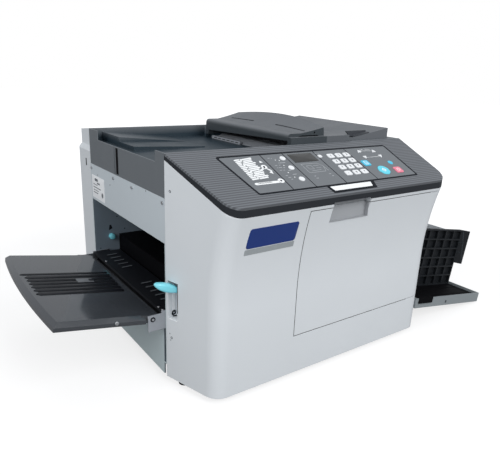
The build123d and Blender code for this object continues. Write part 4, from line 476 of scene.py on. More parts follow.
def put(tree, kind, inputs=None, **settings):
    """Adds a shader node, sets its properties and its unlinked or linked inputs."""
    made = tree.nodes.new(kind)
    for key, value in settings.items():
        setattr(made, key, value)
    for key, value in (inputs or {}).items():
        if isinstance(value, bpy.types.NodeSocket):
            tree.links.new(value, made.inputs[key])
        else:
            made.inputs[key].default_value = value
    return made


def start(name):
    """A material with a Principled shader and Object coordinates."""
    material = bpy.data.materials.new(name)
    material.use_nodes = True
    tree = material.node_tree
    shader = tree.nodes["Principled BSDF"]
    place = put(tree, "ShaderNodeTexCoord").outputs["Object"]
    return material, tree, shader, place


def shade(colour, share):
    """The colour made lighter or darker by a share of itself."""
    return [min(1.0, c * share) for c in colour[:3]] + [1.0]


def mixed(tree, factor, first, second):
    """Colour between two colours or sockets, by a factor socket."""
    mix = put(tree, "ShaderNodeMix", data_type="RGBA")
    tree.links.new(factor, mix.inputs["Factor"])
    for key, value in (("A", first), ("B", second)):
        socket = next(s for s in mix.inputs if s.name == key and s.type == "RGBA")
        if isinstance(value, bpy.types.NodeSocket):
            tree.links.new(value, socket)
        else:
            socket.default_value = value
    return next(s for s in mix.outputs if s.type == "RGBA")


def varied(tree, place, colour, spread, scale):
    """Colour that drifts slowly between a darker and a lighter shade of itself."""
    cloud = put(tree, "ShaderNodeTexNoise", {"Vector": place, "Scale": scale, "Detail": 3.0})
    return mixed(tree, cloud.outputs["Fac"], shade(colour, 1 - spread), shade(colour, 1 + spread))


def ranged(tree, value, low, high, begin=0.3, end=0.7):
    """Maps a value from begin..end to low..high."""
    spread = put(
        tree,
        "ShaderNodeMapRange",
        {"Value": value, "From Min": begin, "From Max": end, "To Min": low, "To Max": high},
    )
    return spread.outputs["Result"]


def rough_cloud(tree, place, low, high, scale):
    """Roughness that wanders between two values, as handled surfaces do."""
    cloud = put(tree, "ShaderNodeTexNoise", {"Vector": place, "Scale": scale, "Detail": 4.0})
    return ranged(tree, cloud.outputs["Fac"], low, high)


def grained(tree, height, depth, strength, edge=0.0):
    """Bump from a height socket, over edges that are softened by a small radius."""
    bump = put(tree, "ShaderNodeBump", {"Strength": strength, "Distance": depth, "Height": height})
    if edge:
        soft = put(tree, "ShaderNodeBevel", {"Radius": edge * MM}, samples=4)
        tree.links.new(soft.outputs["Normal"], bump.inputs["Normal"])
    return bump.outputs["Normal"]


def noise(tree, place, scale, detail=2.0):
    """Height of a fine even noise."""
    cloud = put(tree, "ShaderNodeTexNoise", {"Vector": place, "Scale": scale, "Detail": detail})
    return cloud.outputs["Fac"]


def reckoned(tree, operation, *values):
    """Result of a sum over plain values or sockets."""
    return put(tree, "ShaderNodeMath", dict(enumerate(values)), operation=operation).outputs[0]


def along(tree, place, axis):
    """One coordinate of a place: X, Y or Z."""
    return put(tree, "ShaderNodeSeparateXYZ", {"Vector": place}).outputs[axis]


def stretched(tree, place, scale):
    """The place with its three coordinates scaled, which draws a noise out along an axis."""
    return put(tree, "ShaderNodeMapping", {"Vector": place, "Scale": scale}).outputs["Vector"]


def dress(tree, shader, colour, rough, normal, plain=None):
    """Links colour, roughness and normal to the shader and sets plain values on its own sockets."""
    for key, socket in (("Base Color", colour), ("Roughness", rough), ("Normal", normal)):
        tree.links.new(socket, shader.inputs[key])
    for key, value in (plain or {}).items():
        shader.inputs[key].default_value = value


def moulded(
    name, colour, rough=0.42, grain=1100.0, depth=0.0001, spread=0.025, coat=0.0, edge=0.8, shine=0.5
):
    """Moulded plastic: slow colour drift, fine grain, uneven sheen and soft edges."""
    material, tree, shader, place = start(name)
    drift = varied(tree, place, colour, spread, 6.0)
    cloud = rough_cloud(tree, place, rough - 0.05, rough + 0.06, 18.0)
    normal = grained(tree, noise(tree, place, grain), depth, 0.35, edge)
    plain = {"Coat Weight": coat, "Coat Roughness": 0.08, "Specular IOR Level": shine}
    dress(tree, shader, drift, cloud, normal, plain)
    return material


def by_place(name, colour, other, axis, limit, shine=0.5):
    """Moulded or painted surface that changes colour further than limit from the middle of an axis."""
    material, tree, shader, place = start(name)
    away = reckoned(tree, "ABSOLUTE", along(tree, place, axis))
    past = ranged(tree, away, 0.0, 1.0, limit * MM, (limit + 0.4) * MM)
    near, far = varied(tree, place, colour, 0.05, 9.0), varied(tree, place, other, 0.03, 9.0)
    cloud = rough_cloud(tree, place, 0.39, 0.53, 14.0)
    normal = grained(tree, noise(tree, place, 1500.0), 0.00005, 0.3, 0.5)
    dress(tree, shader, mixed(tree, past, near, far), cloud, normal, {"Specular IOR Level": shine})
    return material


def ridged(name, colour):
    """Panel plastic with fine ridges along x, a sine of the distance up the slope; the crests are
    painted lighter as highlight and the valleys darker as shade.
    """
    pitch = bpy.context.scene.duplicator_sizes.ridge_pitch * MM
    material, tree, shader, place = start(name)
    slope = {0: place, 1: (0.0, math.cos(SLOPE), math.sin(SLOPE))}
    up = put(tree, "ShaderNodeVectorMath", slope, operation="DOT_PRODUCT").outputs["Value"]
    wave = reckoned(tree, "SINE", reckoned(tree, "MULTIPLY", up, 2 * math.pi / pitch))
    crest = ranged(tree, wave, 0.0, 1.0, -0.9, 0.9)
    drift = varied(tree, place, colour, 0.05, 5.0)
    # Painted highlight on the crests and painted shade in the valleys of the ridges
    valley_shade, top = (
        put(tree, "ShaderNodeHueSaturation", {"Color": drift, "Value": value}).outputs["Color"]
        for value in (0.7, 1.32)
    )
    cloud = rough_cloud(tree, place, 0.36, 0.46, 16.0)
    dress(tree, shader, mixed(tree, crest, valley_shade, top), cloud, grained(tree, wave, 0.0003, 0.5, 0.8))
    return material


def housing(name, colour):
    """The housing's grey, turning darker and bluer towards the bottom of the basin."""
    low = bpy.context.scene.duplicator_colours.basin_blue
    material, tree, shader, place = start(name)
    left, right = BASIN_LEFT * MM, (BASIN_LEFT + 1.0) * MM
    inside = ranged(tree, along(tree, place, "X"), 0.0, 1.0, left, right)
    below = ranged(tree, along(tree, place, "Z"), 1.0, 0.0, BASIN_LOW * MM, BASIN_RIM * MM)
    both = reckoned(tree, "MULTIPLY", inside, below)
    rim, basin = varied(tree, place, colour, 0.03, 6.0), varied(tree, place, low, 0.08, 10.0)
    cloud = rough_cloud(tree, place, 0.36, 0.48, 16.0)
    normal = grained(tree, noise(tree, place, 1100.0), 0.0001, 0.35, 0.9)
    dress(tree, shader, mixed(tree, both, rim, basin), cloud, normal)
    return material


def lid_with_side_shade(name, colour):
    """Lid plastic: the top and the low deck in their own grey, the other upright faces painted darker
    as shade.
    """
    side = bpy.context.scene.duplicator_colours.lid_side
    material, tree, shader, place = start(name)
    facing = put(tree, "ShaderNodeTexCoord").outputs["Normal"]
    top = ranged(tree, along(tree, facing, "Z"), 0.0, 1.0, 0.25, 0.85)
    left, right = (LID_DECK - 1.0) * MM, (LID_DECK + 1.0) * MM
    deck = ranged(tree, along(tree, place, "X"), 0.0, 0.8, left, right)
    level = reckoned(tree, "MAXIMUM", top, deck)
    # Painted shade: upright faces left of the deck take the darker grey, the top and the deck the lid's
    # own grey
    dark, light = varied(tree, place, side, 0.04, 6.0), varied(tree, place, colour, 0.025, 6.0)
    cloud = rough_cloud(tree, place, 0.33, 0.44, 18.0)
    normal = grained(tree, noise(tree, place, 1100.0), 0.0001, 0.35, 1.0)
    dress(tree, shader, mixed(tree, level, dark, light), cloud, normal)
    return material


def ribbed_rubber(name, colour, axis_scale=(60.0, 900.0, 60.0), rough=0.7):
    """Ground rubber: faint grinding lines round the roller and a matt, uneven sheen."""
    material, tree, shader, place = start(name)
    lines = noise(tree, stretched(tree, place, axis_scale), 1.0, 3.0)
    cloud = rough_cloud(tree, place, rough - 0.08, rough + 0.1, 60.0)
    normal = grained(tree, lines, 0.0002, 0.4, 0.6)
    dress(tree, shader, varied(tree, place, colour, 0.12, 40.0), cloud, normal)
    return material


def screen_cloth(name, colour):
    """Fine screen: two crossed sines along the drum and round it."""
    material, tree, shader, place = start(name)
    threads = 5200.0
    waves = [
        reckoned(tree, "SINE", reckoned(tree, "MULTIPLY", along(tree, place, axis), threads))
        for axis in ("Y", "Z")
    ]
    weave = reckoned(tree, "MULTIPLY", *waves)
    crest = ranged(tree, weave, 0.0, 1.0, -0.6, 0.6)
    colours = mixed(tree, crest, shade(colour, 0.7), shade(colour, 1.25))
    cloud = rough_cloud(tree, place, 0.5, 0.65, 20.0)
    dress(tree, shader, colours, cloud, grained(tree, weave, 0.0001, 0.3))
    return material


def wound_film(name, colour):
    """Film on a roll: fine lines where the edges of the turns catch the light."""
    material, tree, shader, place = start(name)
    run = stretched(tree, place, (1.0, 90.0, 1.0))
    cloud = rough_cloud(tree, place, 0.22, 0.36, 12.0)
    normal = grained(tree, noise(tree, run, 8.0), 0.0001, 0.2, 0.4)
    dress(tree, shader, varied(tree, run, colour, 0.06, 6.0), cloud, normal)
    return material


def plated(name, colour):
    """Zinc-plated steel with stretched scratches and small dull spots."""
    material, tree, shader, place = start(name)
    run = stretched(tree, place, (1.0, 40.0, 40.0))
    worn = ranged(tree, noise(tree, run, 30.0, 4.0), 0.22, 0.4)
    normal = grained(tree, noise(tree, run, 60.0), 0.00005, 0.3, 0.4)
    dress(tree, shader, varied(tree, place, colour, 0.06, 60.0), worn, normal, {"Metallic": 1.0})
    return material


def waffle(name, colour):
    """Black fence plastic whose sharp edges are rubbed a little lighter."""
    material, tree, shader, place = start(name)
    soft = put(tree, "ShaderNodeBevel", {"Radius": 1.2 * MM}, samples=4).outputs["Normal"]
    flat = put(tree, "ShaderNodeNewGeometry").outputs["True Normal"]
    same = put(tree, "ShaderNodeVectorMath", {0: soft, 1: flat}, operation="DOT_PRODUCT")
    rubbed = ranged(tree, same.outputs["Value"], 1.0, 0.0, 0.8, 0.99)
    colours = mixed(tree, rubbed, varied(tree, place, colour, 0.15, 14.0), shade(colour, 3.0))
    cloud = rough_cloud(tree, place, 0.38, 0.55, 22.0)
    normal = grained(tree, noise(tree, place, 900.0), 0.0001, 0.4)
    dress(tree, shader, colours, cloud, normal, {"Specular IOR Level": 0.3})
    return material


def printed(name, colour, rough=0.5, spread=0.03, coat=0.0, shine=0.4):
    """Ink or film: a fine speckle in the colour and a smooth, slightly uneven sheen."""
    material, tree, shader, place = start(name)
    speckle = varied(tree, place, colour, spread, 260.0)
    cloud = rough_cloud(tree, place, rough - 0.04, rough + 0.05, 40.0)
    normal = grained(tree, noise(tree, place, 2400.0), 0.00002, 0.2)
    plain = {"Coat Weight": coat, "Coat Roughness": 0.06, "Specular IOR Level": shine}
    dress(tree, shader, speckle, cloud, normal, plain)
    return material


SHEET = {"grain": 1600.0, "depth": 0.00005}
KEY = {"rough": 0.32, "edge": 0.0}

MAKERS = {
    "cover_grey": partial(moulded, rough=0.4),
    "side_grey": partial(moulded, rough=0.38, **SHEET),
    "housing_grey": housing,
    "panel_grey": ridged,
    "trim_navy": partial(moulded, rough=0.34, shine=0.35),
    "overlay_grey": partial(printed, rough=0.36),
    "lid_grey": partial(moulded, rough=0.38, edge=1.0),
    "lid_side": partial(moulded, rough=0.4),
    "black_plastic": partial(moulded, rough=0.4, spread=0.1, shine=0.2),
    "dark_plastic": partial(moulded, rough=0.4),
    "fence_black": waffle,
    "tray_gloss": partial(moulded, rough=0.17, grain=500.0, depth=0.00003, coat=0.5, edge=1.2),
    "lever_blue": partial(moulded, rough=0.3, grain=700.0, depth=0.00004, coat=0.3),
    "roller_rubber": ribbed_rubber,
    "drum_screen": screen_cloth,
    "master_film": wound_film,
    "bright_steel": plated,
    "foot_rubber": partial(ribbed_rubber, axis_scale=(120.0, 120.0, 700.0), rough=0.75),
    "key_white": partial(moulded, rough=0.34, edge=0.0),
    "key_teal": partial(moulded, **KEY),
    "key_red": partial(moulded, **KEY),
    "key_grey": partial(moulded, **KEY),
    "print_white": printed,
    "print_grey": printed,
    "print_dark": partial(printed, rough=0.5, spread=0.1, shine=0.15),
    "display_dark": partial(printed, rough=0.14, spread=0.08, coat=0.6),
    "badge_blue": partial(printed, rough=0.4, spread=0.03, shine=0.3),
    "strip_silver": partial(printed, rough=0.38, spread=0.08),
    "label_white": printed,
    "shade_grey": partial(moulded, rough=0.45, edge=0.3),
    "delivery_grey": partial(moulded, rough=0.42, **SHEET),
    "deep_black": partial(moulded, rough=0.6, spread=0.1, shine=0.06),
    "bracket_grey": partial(moulded, rough=0.38, **SHEET),
}


def finish(name):
    """The finish of that name, made the first time it is asked for."""
    label = name + "_finish"
    if label in bpy.data.materials:
        return bpy.data.materials[label]
    colours = bpy.context.scene.duplicator_colours
    colour = getattr(colours, name)
    if name == "frame_steel":
        return by_place(label, colour, colours.wall_grey, "X", LOW_WALL_FACE)
    return MAKERS[name](label, colour)


class DUPLICATOR_OT_frame_finishes(bpy.types.Operator):
    """Gives every CAD node its finish"""

    bl_idname = "duplicator.frame_finishes"
    bl_label = "Frame finishes"

    def execute(self, context):
        colours = context.scene.duplicator_colours
        black, light = colours.black_plastic, colours.bracket_grey
        own = {
            "left_upper_panel": finish("side_grey"),
            # The lid's upright faces carry painted shade
            "feeder_lid": lid_with_side_shade("feeder_lid_finish", colours.lid_grey),
            "scan_unit": finish("bracket_grey"),
            "feed_guide": finish("deep_black"),
            "delivery_tray": finish("delivery_grey"),
            "delivery_tray_floor": finish("deep_black"),
            "feed_table": by_place("feed_table_finish", black, light, "Y", BRACKET_BEGIN, shine=0.2),
        }
        for name, part in NODES.items():
            part.data.materials.clear()
            part.data.materials.append(own.get(name) or finish(SLOT_OF_NODE[name]))
        return {"FINISHED"}


class DUPLICATOR_OT_panel_print(bpy.types.Operator):
    """Prints the outline, rules, display, diagram and small marks on the panel"""

    bl_idname = "duplicator.panel_print"
    bl_label = "Panel print"

    def execute(self, context):
        sizes = context.scene.duplicator_sizes
        low, high = SUNK, sizes.print_height
        front_left, back_left, right, front, back = -200.0, -228.0, 239.0, 27.0, 148.0
        film = [(front_left, front), (right, front), (right, back), (back_left, back)]
        width = sizes.outline_width
        inner = [(front_left + 0.7 * width, front + width), (right - width, front + width)]
        inner += [(right - width, back - width), (back_left + 1.3 * width, back - width)]
        outline = frame_skin(round_outline(film, 6.0), round_outline(inner, 4.0), on_panel, low, high)
        rules = ((-126.2, -119.4), (-70.5, -62.5), (11.4, 18.7), (103.9, 109.9))
        thin = sizes.rule_width
        lines = [line_outline((above, 146.0), (below, 29.0), thin) for above, below in rules]
        skins = all_raised(lines, on_panel, low, high)
        make_piece("overlay_rules", [outline, *skins], finish("print_dark"), "body")

        window = [(-59.0, 109.5), (5.0, 110.0), (2.5, 139.0), (-61.0, 139.0)]
        skin = raised(round_outline(window, 1.5), on_panel, low, high + 0.25, 0.3)
        make_piece("display_window", [skin], finish("display_dark"), "body")

        border = [(-35.5, 6.0), (85.0, 6.0), (93.5, 31.0), (-40.0, 31.0)]
        plate = [(-29.0, 12.0), (76.0, 12.0), (81.0, 25.0), (-33.0, 25.0)]
        skin = raised(round_outline(border, 2.0), on_panel, low, high + 0.2, 0.2)
        make_piece("front_bar_border", [skin], finish("print_dark"), "body")
        skin = raised(round_outline(plate, 0.8), on_panel, high, high + 0.8, 0.4)
        make_piece("front_bar", [skin], finish("print_white"), "body")

        self.diagram(low, high)
        self.marks(low, high)
        return {"FINISHED"}

    def diagram(self, low, high):
        """A generic diagram of a stack of slanting sheets, a wheel, an arrow and a long sheet."""
        outlines = []
        for row in range(13):
            height = 133.0 - 5.1 * row
            begin = -193.0 + 0.35 * row
            split = 13.0 + 3.5 * math.sin(1.7 * row)
            end = 40.0 + 2.5 * math.sin(2.3 * row + 1.0)
            for left, right in ((0.0, split), (split + 1.2, end)):
                centre = (begin + (left + right) / 2, height + 0.06 * (left + right) / 2)
                outlines.append(bar_outline(centre, right - left, 3.9, 7.0 + 3.0 * math.sin(row)))
        outlines.append(bar_outline((-162.0, 58.0), 58.0, 6.6, 0.0, 0.5))
        outlines.append(circle_outline((-129.5, 60.0), 6.8))
        outlines.append(circle_outline((-139.5, 105.5), 6.6))
        outlines.append(bar_outline((-146.0, 100.0), 16.0, 4.0, 28.0))
        outlines.append(bar_outline((-134.0, 96.0), 13.0, 3.4, -52.0))
        outlines.append(round_outline([(-141.5, 119.0), (-133.5, 119.5), (-138.0, 126.5)], 0.5, 24))
        outlines.append(round_outline([(-138.5, 88.0), (-132.5, 81.5), (-130.0, 92.5)], 0.5, 24))
        skins = all_raised(outlines, on_panel, low, high)
        make_piece("panel_diagram", skins, finish("print_white"), "body")

        outlines = [bar_outline((-168.0, 58.0), 34.0, 0.8), bar_outline((-166.0, 59.8), 30.0, 0.6)]
        outlines += [circle_outline((-129.5, 60.0), 2.2, 24), circle_outline((-139.5, 105.5), 2.4, 24)]
        skins = all_raised(outlines, on_panel, high - 0.02, high + 0.06)
        make_piece("panel_diagram_lines", skins, finish("print_dark"), "body")

    def marks(self, low, high):
        """Short bars beside the keys, an outlined machine and the joining lines of the arrow keys."""
        rows = [(-112.0, 131.5, 5.0), (-106.0, 130.0, 2.0), (-89.0, 113.6, 13.0), (-98.0, 113.6, 3.0)]
        rows += [(-110.0, 106.5, 6.0), (-101.0, 106.5, 3.5), (-111.0, 99.0, 3.0), (-104.0, 99.0, 7.0)]
        rows += [(-96.0, 97.5, 4.0), (-109.0, 90.5, 6.0), (-101.0, 90.0, 4.0), (-88.0, 88.0, 8.0)]
        rows += [(-86.0, 74.5, 10.0), (-107.0, 73.0, 5.0), (-104.0, 66.5, 7.0), (-102.0, 60.5, 4.0)]
        rows += [(-1.0, 64.5, 6.0), (2.0, 57.5, 5.0), (-42.0, 62.5, 5.0), (-41.0, 55.5, 6.5)]
        rows += [(14.5, 135.2, 6.0), (21.5, 134.8, 4.0)]
        outlines = [bar_outline((u, v), long, 1.5) for u, v, long in rows]
        corners = [(-47.0, 74.0), (-49.5, 103.5), (-8.0, 102.5), (2.0, 92.0), (-3.5, 74.5)]
        lines = list(zip(corners, corners[1:] + corners[:1]))
        window = [(-40.0, 97.0), (-28.0, 96.5), (-27.0, 85.0), (-39.0, 85.5)]
        lines += list(zip(window, window[1:] + window[:1]))
        lines += [((-22.0, 96.0), (-10.0, 94.0)), ((-19.0, 88.0), (-8.0, 86.5))]
        lines += [((-36.0, 79.5), (-12.0, 80.5)), ((2.0, 92.0), (4.5, 76.0))]
        outlines += [line_outline(*ends, 0.9) for ends in lines]
        skins = all_raised(outlines, on_panel, low, high)
        make_piece("panel_marks", skins, finish("print_grey"), "body")

        dots = [(-92.0, 121.5), (-92.0, 104.5), (-97.0, 81.5), (-92.0, 66.0), (-100.0, 124.0)]
        joins = [((146.0, 131.5), (178.0, 129.5)), ((147.0, 106.5), (183.0, 106.0))]
        joins += [((146.5, 134.0), (158.0, 137.0)), ((165.0, 137.5), (178.0, 134.0))]
        outlines = [circle_outline(dot, 1.3, 16) for dot in dots]
        outlines += [line_outline(*ends, 0.8) for ends in joins]
        skins = all_raised(outlines, on_panel, low, high)
        make_piece("panel_lights", skins, finish("print_white"), "body")

        lamp = raised(circle_outline((197.4, 80.5), 6.6, 48), on_panel, low, high + 0.5, 0.5)
        make_piece("panel_lamp", [lamp], finish("key_teal"), "body")


class DUPLICATOR_OT_key_caps(bpy.types.Operator):
    """Makes the key caps with their digits and marks"""

    bl_idname = "duplicator.key_caps"
    bl_label = "Key caps"

    def execute(self, context):
        centre, pitch = (71.0, 91.0), (23.5, 20.7)
        for index in range(12):
            column, row = index % 3, index // 3
            place = (centre[0] + pitch[0] * (column - 1), centre[1] + pitch[1] * (1.5 - row))
            name = f"number_key_{index + 1:02d}"
            self.cap(name, bar_outline(place, 17.0, 14.0, 0.0, 3.0 / 14.0, 64), "key_white")
            self.digit(name, "123456789-0+"[index], place)
        for index, height in enumerate((127.0, 95.0, 58.0)):
            self.cap(f"mode_key_{index + 1}", circle_outline((-80.0, height), 6.5), "key_white")
        self.cap("display_key", bar_outline((18.0, 124.0), 10.0, 9.0, 0.0, 3.0 / 9.0, 48), "key_white")
        arrows = [((140.0, 129.0), 90.0), ((184.0, 126.0), -30.0)]
        arrows += [((140.5, 108.0), 30.0), ((189.5, 107.5), -90.0)]
        for index, (place, turn) in enumerate(arrows):
            self.cap(f"arrow_key_{index + 1}", self.three_corners(place, turn), "key_white")
        self.cap("master_key", bar_outline(MASTER_KEY, 20.0, 19.0, 0.0, 3.0 / 19.0, 64), "key_teal")
        self.cap("start_key", circle_outline(START_KEY, 15.0, 72), "key_grey", 1.1)
        self.cap("stop_key", bar_outline(STOP_KEY, 21.0, 20.0, 0.0, 3.0 / 20.0, 64), "key_red")
        self.symbols()
        return {"FINISHED"}

    def cap(self, name, outline, slot, edge=None):
        """A cap with a rounded top edge and a shallow hollow, in place of its plain key."""
        sizes = bpy.context.scene.duplicator_sizes
        skin = raised(outline, on_panel, KEY_BOTTOM, KEY_TOP, edge or sizes.cap_edge, sizes.cap_dish)
        make_piece(name + "_cap", [skin], finish(slot), name, [name])

    def three_corners(self, place, turn):
        """Round-cornered triangle, its corners a third of a turn apart."""
        angle = np.radians(turn + np.array([0.0, 120.0, 240.0]))
        corners = np.stack([place[0] + 6.5 * np.cos(angle), place[1] + 6.5 * np.sin(angle)], axis=1)
        return round_outline(corners, 0.8, 36)

    def digit(self, name, sign, place):
        """A printed digit just above the hollow of a number key."""
        sizes = bpy.context.scene.duplicator_sizes
        top = KEY_TOP - sizes.cap_dish
        above = top + 0.12 + sizes.cap_dish * 0.5
        skin = printed_sign(sign, sizes.digit_size, place, on_panel, top, above)
        make_piece(name + "_sign", [skin], finish("print_dark"), name)

    def symbols(self):
        """Plain marks on the three large keys: a sheet, a lozenge and a round."""
        low, high = KEY_TOP - 0.4, KEY_TOP - 0.05
        white = finish("print_white")
        sheet = round_outline(box_corners((118.5, 128.5), (80.5, 92.5)), 0.8, 32)
        inside = round_outline(box_corners((119.7, 127.3), (81.7, 91.3)), 0.4, 32)
        skins = [frame_skin(sheet, inside, on_panel, low, high)]
        lines = [line_outline((121.0, v), (126.0, v), 0.9) for v in (84.5, 88.0)]
        skins += all_raised(lines, on_panel, low, high)
        make_piece("master_key_sign", skins, white, "master_key")

        outer, inner = self.lozenge(6.5, 0.8), self.lozenge(4.2, 0.4)
        skins = [frame_skin(outer, inner, on_panel, low, high)]
        skins.append(raised(line_outline((150.0, 56.8), (156.4, 56.8), 1.0), on_panel, low, high))
        make_piece("start_key_sign", skins, white, "start_key")

        outer, inner = circle_outline(STOP_KEY, 4.6, 36), circle_outline(STOP_KEY, 3.3, 36)
        ring = frame_skin(outer, inner, on_panel, low, high)
        make_piece("stop_key_sign", [ring], white, "stop_key")

    def lozenge(self, reach, corner):
        """Square standing on its corner in the middle of the start key."""
        u, v = START_KEY
        corners = [(u, v - reach), (u + reach, v), (u, v + reach), (u - reach, v)]
        return round_outline(corners, corner, 32)


class DUPLICATOR_OT_plates(bpy.types.Operator):
    """Makes the bare badge and strip on the front and the bare label on the left"""

    bl_idname = "duplicator.plates"
    bl_label = "Badge, strip and label"

    def execute(self, context):
        thick = context.scene.duplicator_sizes.plate_height
        sides, heights = ((-233.5, -121.0), (-229.0, -118.0)), (277.0, 316.0)
        self.curved_plate("badge", sides, heights, 5.0, thick, "badge_blue")
        sides, heights = ((-235.0, -121.5), (-233.8, -121.0)), (264.5, 275.6)
        self.curved_plate("strip", sides, heights, 1.2, thick * 0.6, "strip_silver")
        low, high = SUNK, 0.25
        plate = round_outline(box_corners((113.0, 196.0), (266.0, 322.0)), 2.0, 64)
        skin = raised(plate, on_left, low, high, 0.1)
        make_piece("side_label", [skin], finish("label_white"), "body")
        rows = [(166.0, 312.0, 22.0, 7.0), (152.0, 305.0, 20.0, 4.0), (173.0, 300.0, 30.0, 1.8)]
        rows += [(163.0, 293.0, 50.0, 2.4), (170.0, 286.0, 34.0, 1.8), (172.0, 280.0, 30.0, 2.2)]
        outlines = [bar_outline((y, z), long, wide) for y, z, long, wide in rows]
        outlines.append(circle_outline((128.0, 281.0), 6.0))
        skins = all_raised(outlines, on_left, high - 0.05, high + 0.05)
        make_piece("side_label_bars", skins, finish("housing_grey"), "body")
        return {"FINISHED"}

    def curved_plate(self, name, sides, heights, corner, thick, slot):
        """A thin plate bent to the front: rows of its outline's points follow the arc of the front.

        The sides are the (left, right) pairs at the bottom and at the top. The inside is a grid
        between the outline and its middle, so that it bends with the face.
        """
        (left_low, right_low), (left_high, right_high) = sides
        below, above = heights
        corners = [(left_low, below), (right_low, below), (right_high, above), (left_high, above)]
        outline = round_outline(corners, corner, 128)
        middle = outline.mean(0)
        steps = [(1.0, -0.3), (1.0, thick * 0.6), (0.995, thick)]
        steps += [(scale, thick) for scale in np.linspace(0.9, 0.1, 9)]
        rings = []
        for scale, height in steps:
            ring = middle + (outline - middle) * scale
            rings.append(on_front(ring[:, 0], ring[:, 1], np.full(len(ring), height)))
        make_piece(name, [ring_mesh(rings)], finish(slot), "body", smooth=50.0)


class DUPLICATOR_OT_lock_lever(bpy.types.Operator):
    """Makes the rounded lock lever, the painted shadow and painted light in its recess, and the hook in
    it
    """

    bl_idname = "duplicator.lock_lever"
    bl_label = "Lock lever"

    def execute(self, context):
        pin = turned_skin([(-14.5, 2.5), (14.5, 2.5)], LEVER_PIVOT, 24)
        skins = [self.blade(), pin]
        blue = finish("lever_blue")
        make_piece("lever_blade", skins, blue, "lock_lever", ["lock_lever"], 50.0)

        # Painted shadow along the top and right edges of the recess
        corner = (-232.9, 187.0)
        gaps = [line_outline((-232.9, 126.0), corner, 1.5), line_outline(corner, (-208.6, 187.0), 1.3)]
        skins = all_raised(gaps, on_slant, -0.4, 0.08)
        make_piece("recess_shadow_gap", skins, finish("print_dark"), "body")
        self.recess()
        return {"FINISHED"}

    def recess(self):
        """Painted light in the recess: a pale patch on its floor and a pale strip on its wall, lighter
        than the cover, and the bent wire hook on its wall.
        """
        corners = [(-317.6, -208.4), (-310.9, -231.6), (-297.4, -231.6), (-297.4, -208.4)]
        # Painted light: pale patch on the recess floor
        skin = raised(round_outline(corners, 0.5, 32), on_level(RECESS_FLOOR), SUNK, 0.6, 0.2)
        make_piece("recess_floor", [skin], finish("label_white"), "body")

        wall = on_wall(RECESS_WALL)
        # Painted light: pale strip on the recess's back wall
        strip = raised(box_corners((-309.0, -303.5), (122.0, 184.0)), wall, SUNK, 0.8, 0.3)
        make_piece("recess_guide", [strip], finish("label_white"), "body")

        outer = [(-302.6, 119.5), (-306.0, 121.8), (-309.2, 119.0), (-309.8, 114.0)]
        outer += [(-306.5, 109.6), (-299.6, 108.6)]
        inner = [(-306.8, 119.6), (-303.2, 118.6), (-302.8, 114.8), (-306.8, 113.6)]
        hook = [*zip(outer, outer[1:]), *zip(inner, inner[1:])]
        skins = all_raised([line_outline(*ends, 1.8) for ends in hook], wall, SUNK, 1.6, 0.5)
        make_piece("recess_hook", skins, finish("print_dark"), "body")

    def blade(self):
        """A leaf-shaped blade: superellipse sections whose half height and width follow the length.

        The half height grows a little from the root, which closes as a quarter ellipse, and falls
        towards the tip as the root of one minus the square of the share of the nose. The middle
        rises with the square of that share, so the nose points along the upper edge.
        """
        root_run, nose_begin, nose_run = 6.0, 20.0, 31.0
        half_high, growth, half_wide, lift = 6.0, 2.6, 9.8, 1.6
        nose_steps = nose_begin + nose_run * np.sin(np.linspace(0.08, 1.55, 22))
        run = np.concatenate([np.linspace(-5.98, 0.0, 8), np.linspace(3.0, nose_begin, 8), nose_steps])
        share = np.clip((run - nose_begin) / nose_run, 0.0, 1.0)
        root = np.sqrt(np.clip(1.0 - (np.minimum(run, 0.0) / root_run) ** 2, 0.0, 1.0))
        nose = np.sqrt(np.clip(1.0 - share**2, 0.0, 1.0))
        high = (half_high + growth * np.clip(run, 0.0, nose_begin) / nose_begin) * root * nose
        wide = half_wide * np.sqrt(root) * nose**0.7
        middle = lift * share**2
        angle = np.arange(48) * 2 * math.pi / 48
        power = 2.0 / 3.4
        across = np.sign(np.cos(angle)) * np.abs(np.cos(angle)) ** power
        above = np.sign(np.sin(angle)) * np.abs(np.sin(angle)) ** power
        up = high[:, None] * above + middle[:, None]
        x = LEVER_PIVOT[0] - run[:, None] * math.cos(LEVER_RISE) + up * math.sin(LEVER_RISE)
        y = LEVER_PIVOT[1] + wide[:, None] * across
        z = LEVER_PIVOT[2] + run[:, None] * math.sin(LEVER_RISE) + up * math.cos(LEVER_RISE)
        return ring_mesh(np.stack([x, y, z], axis=-1))


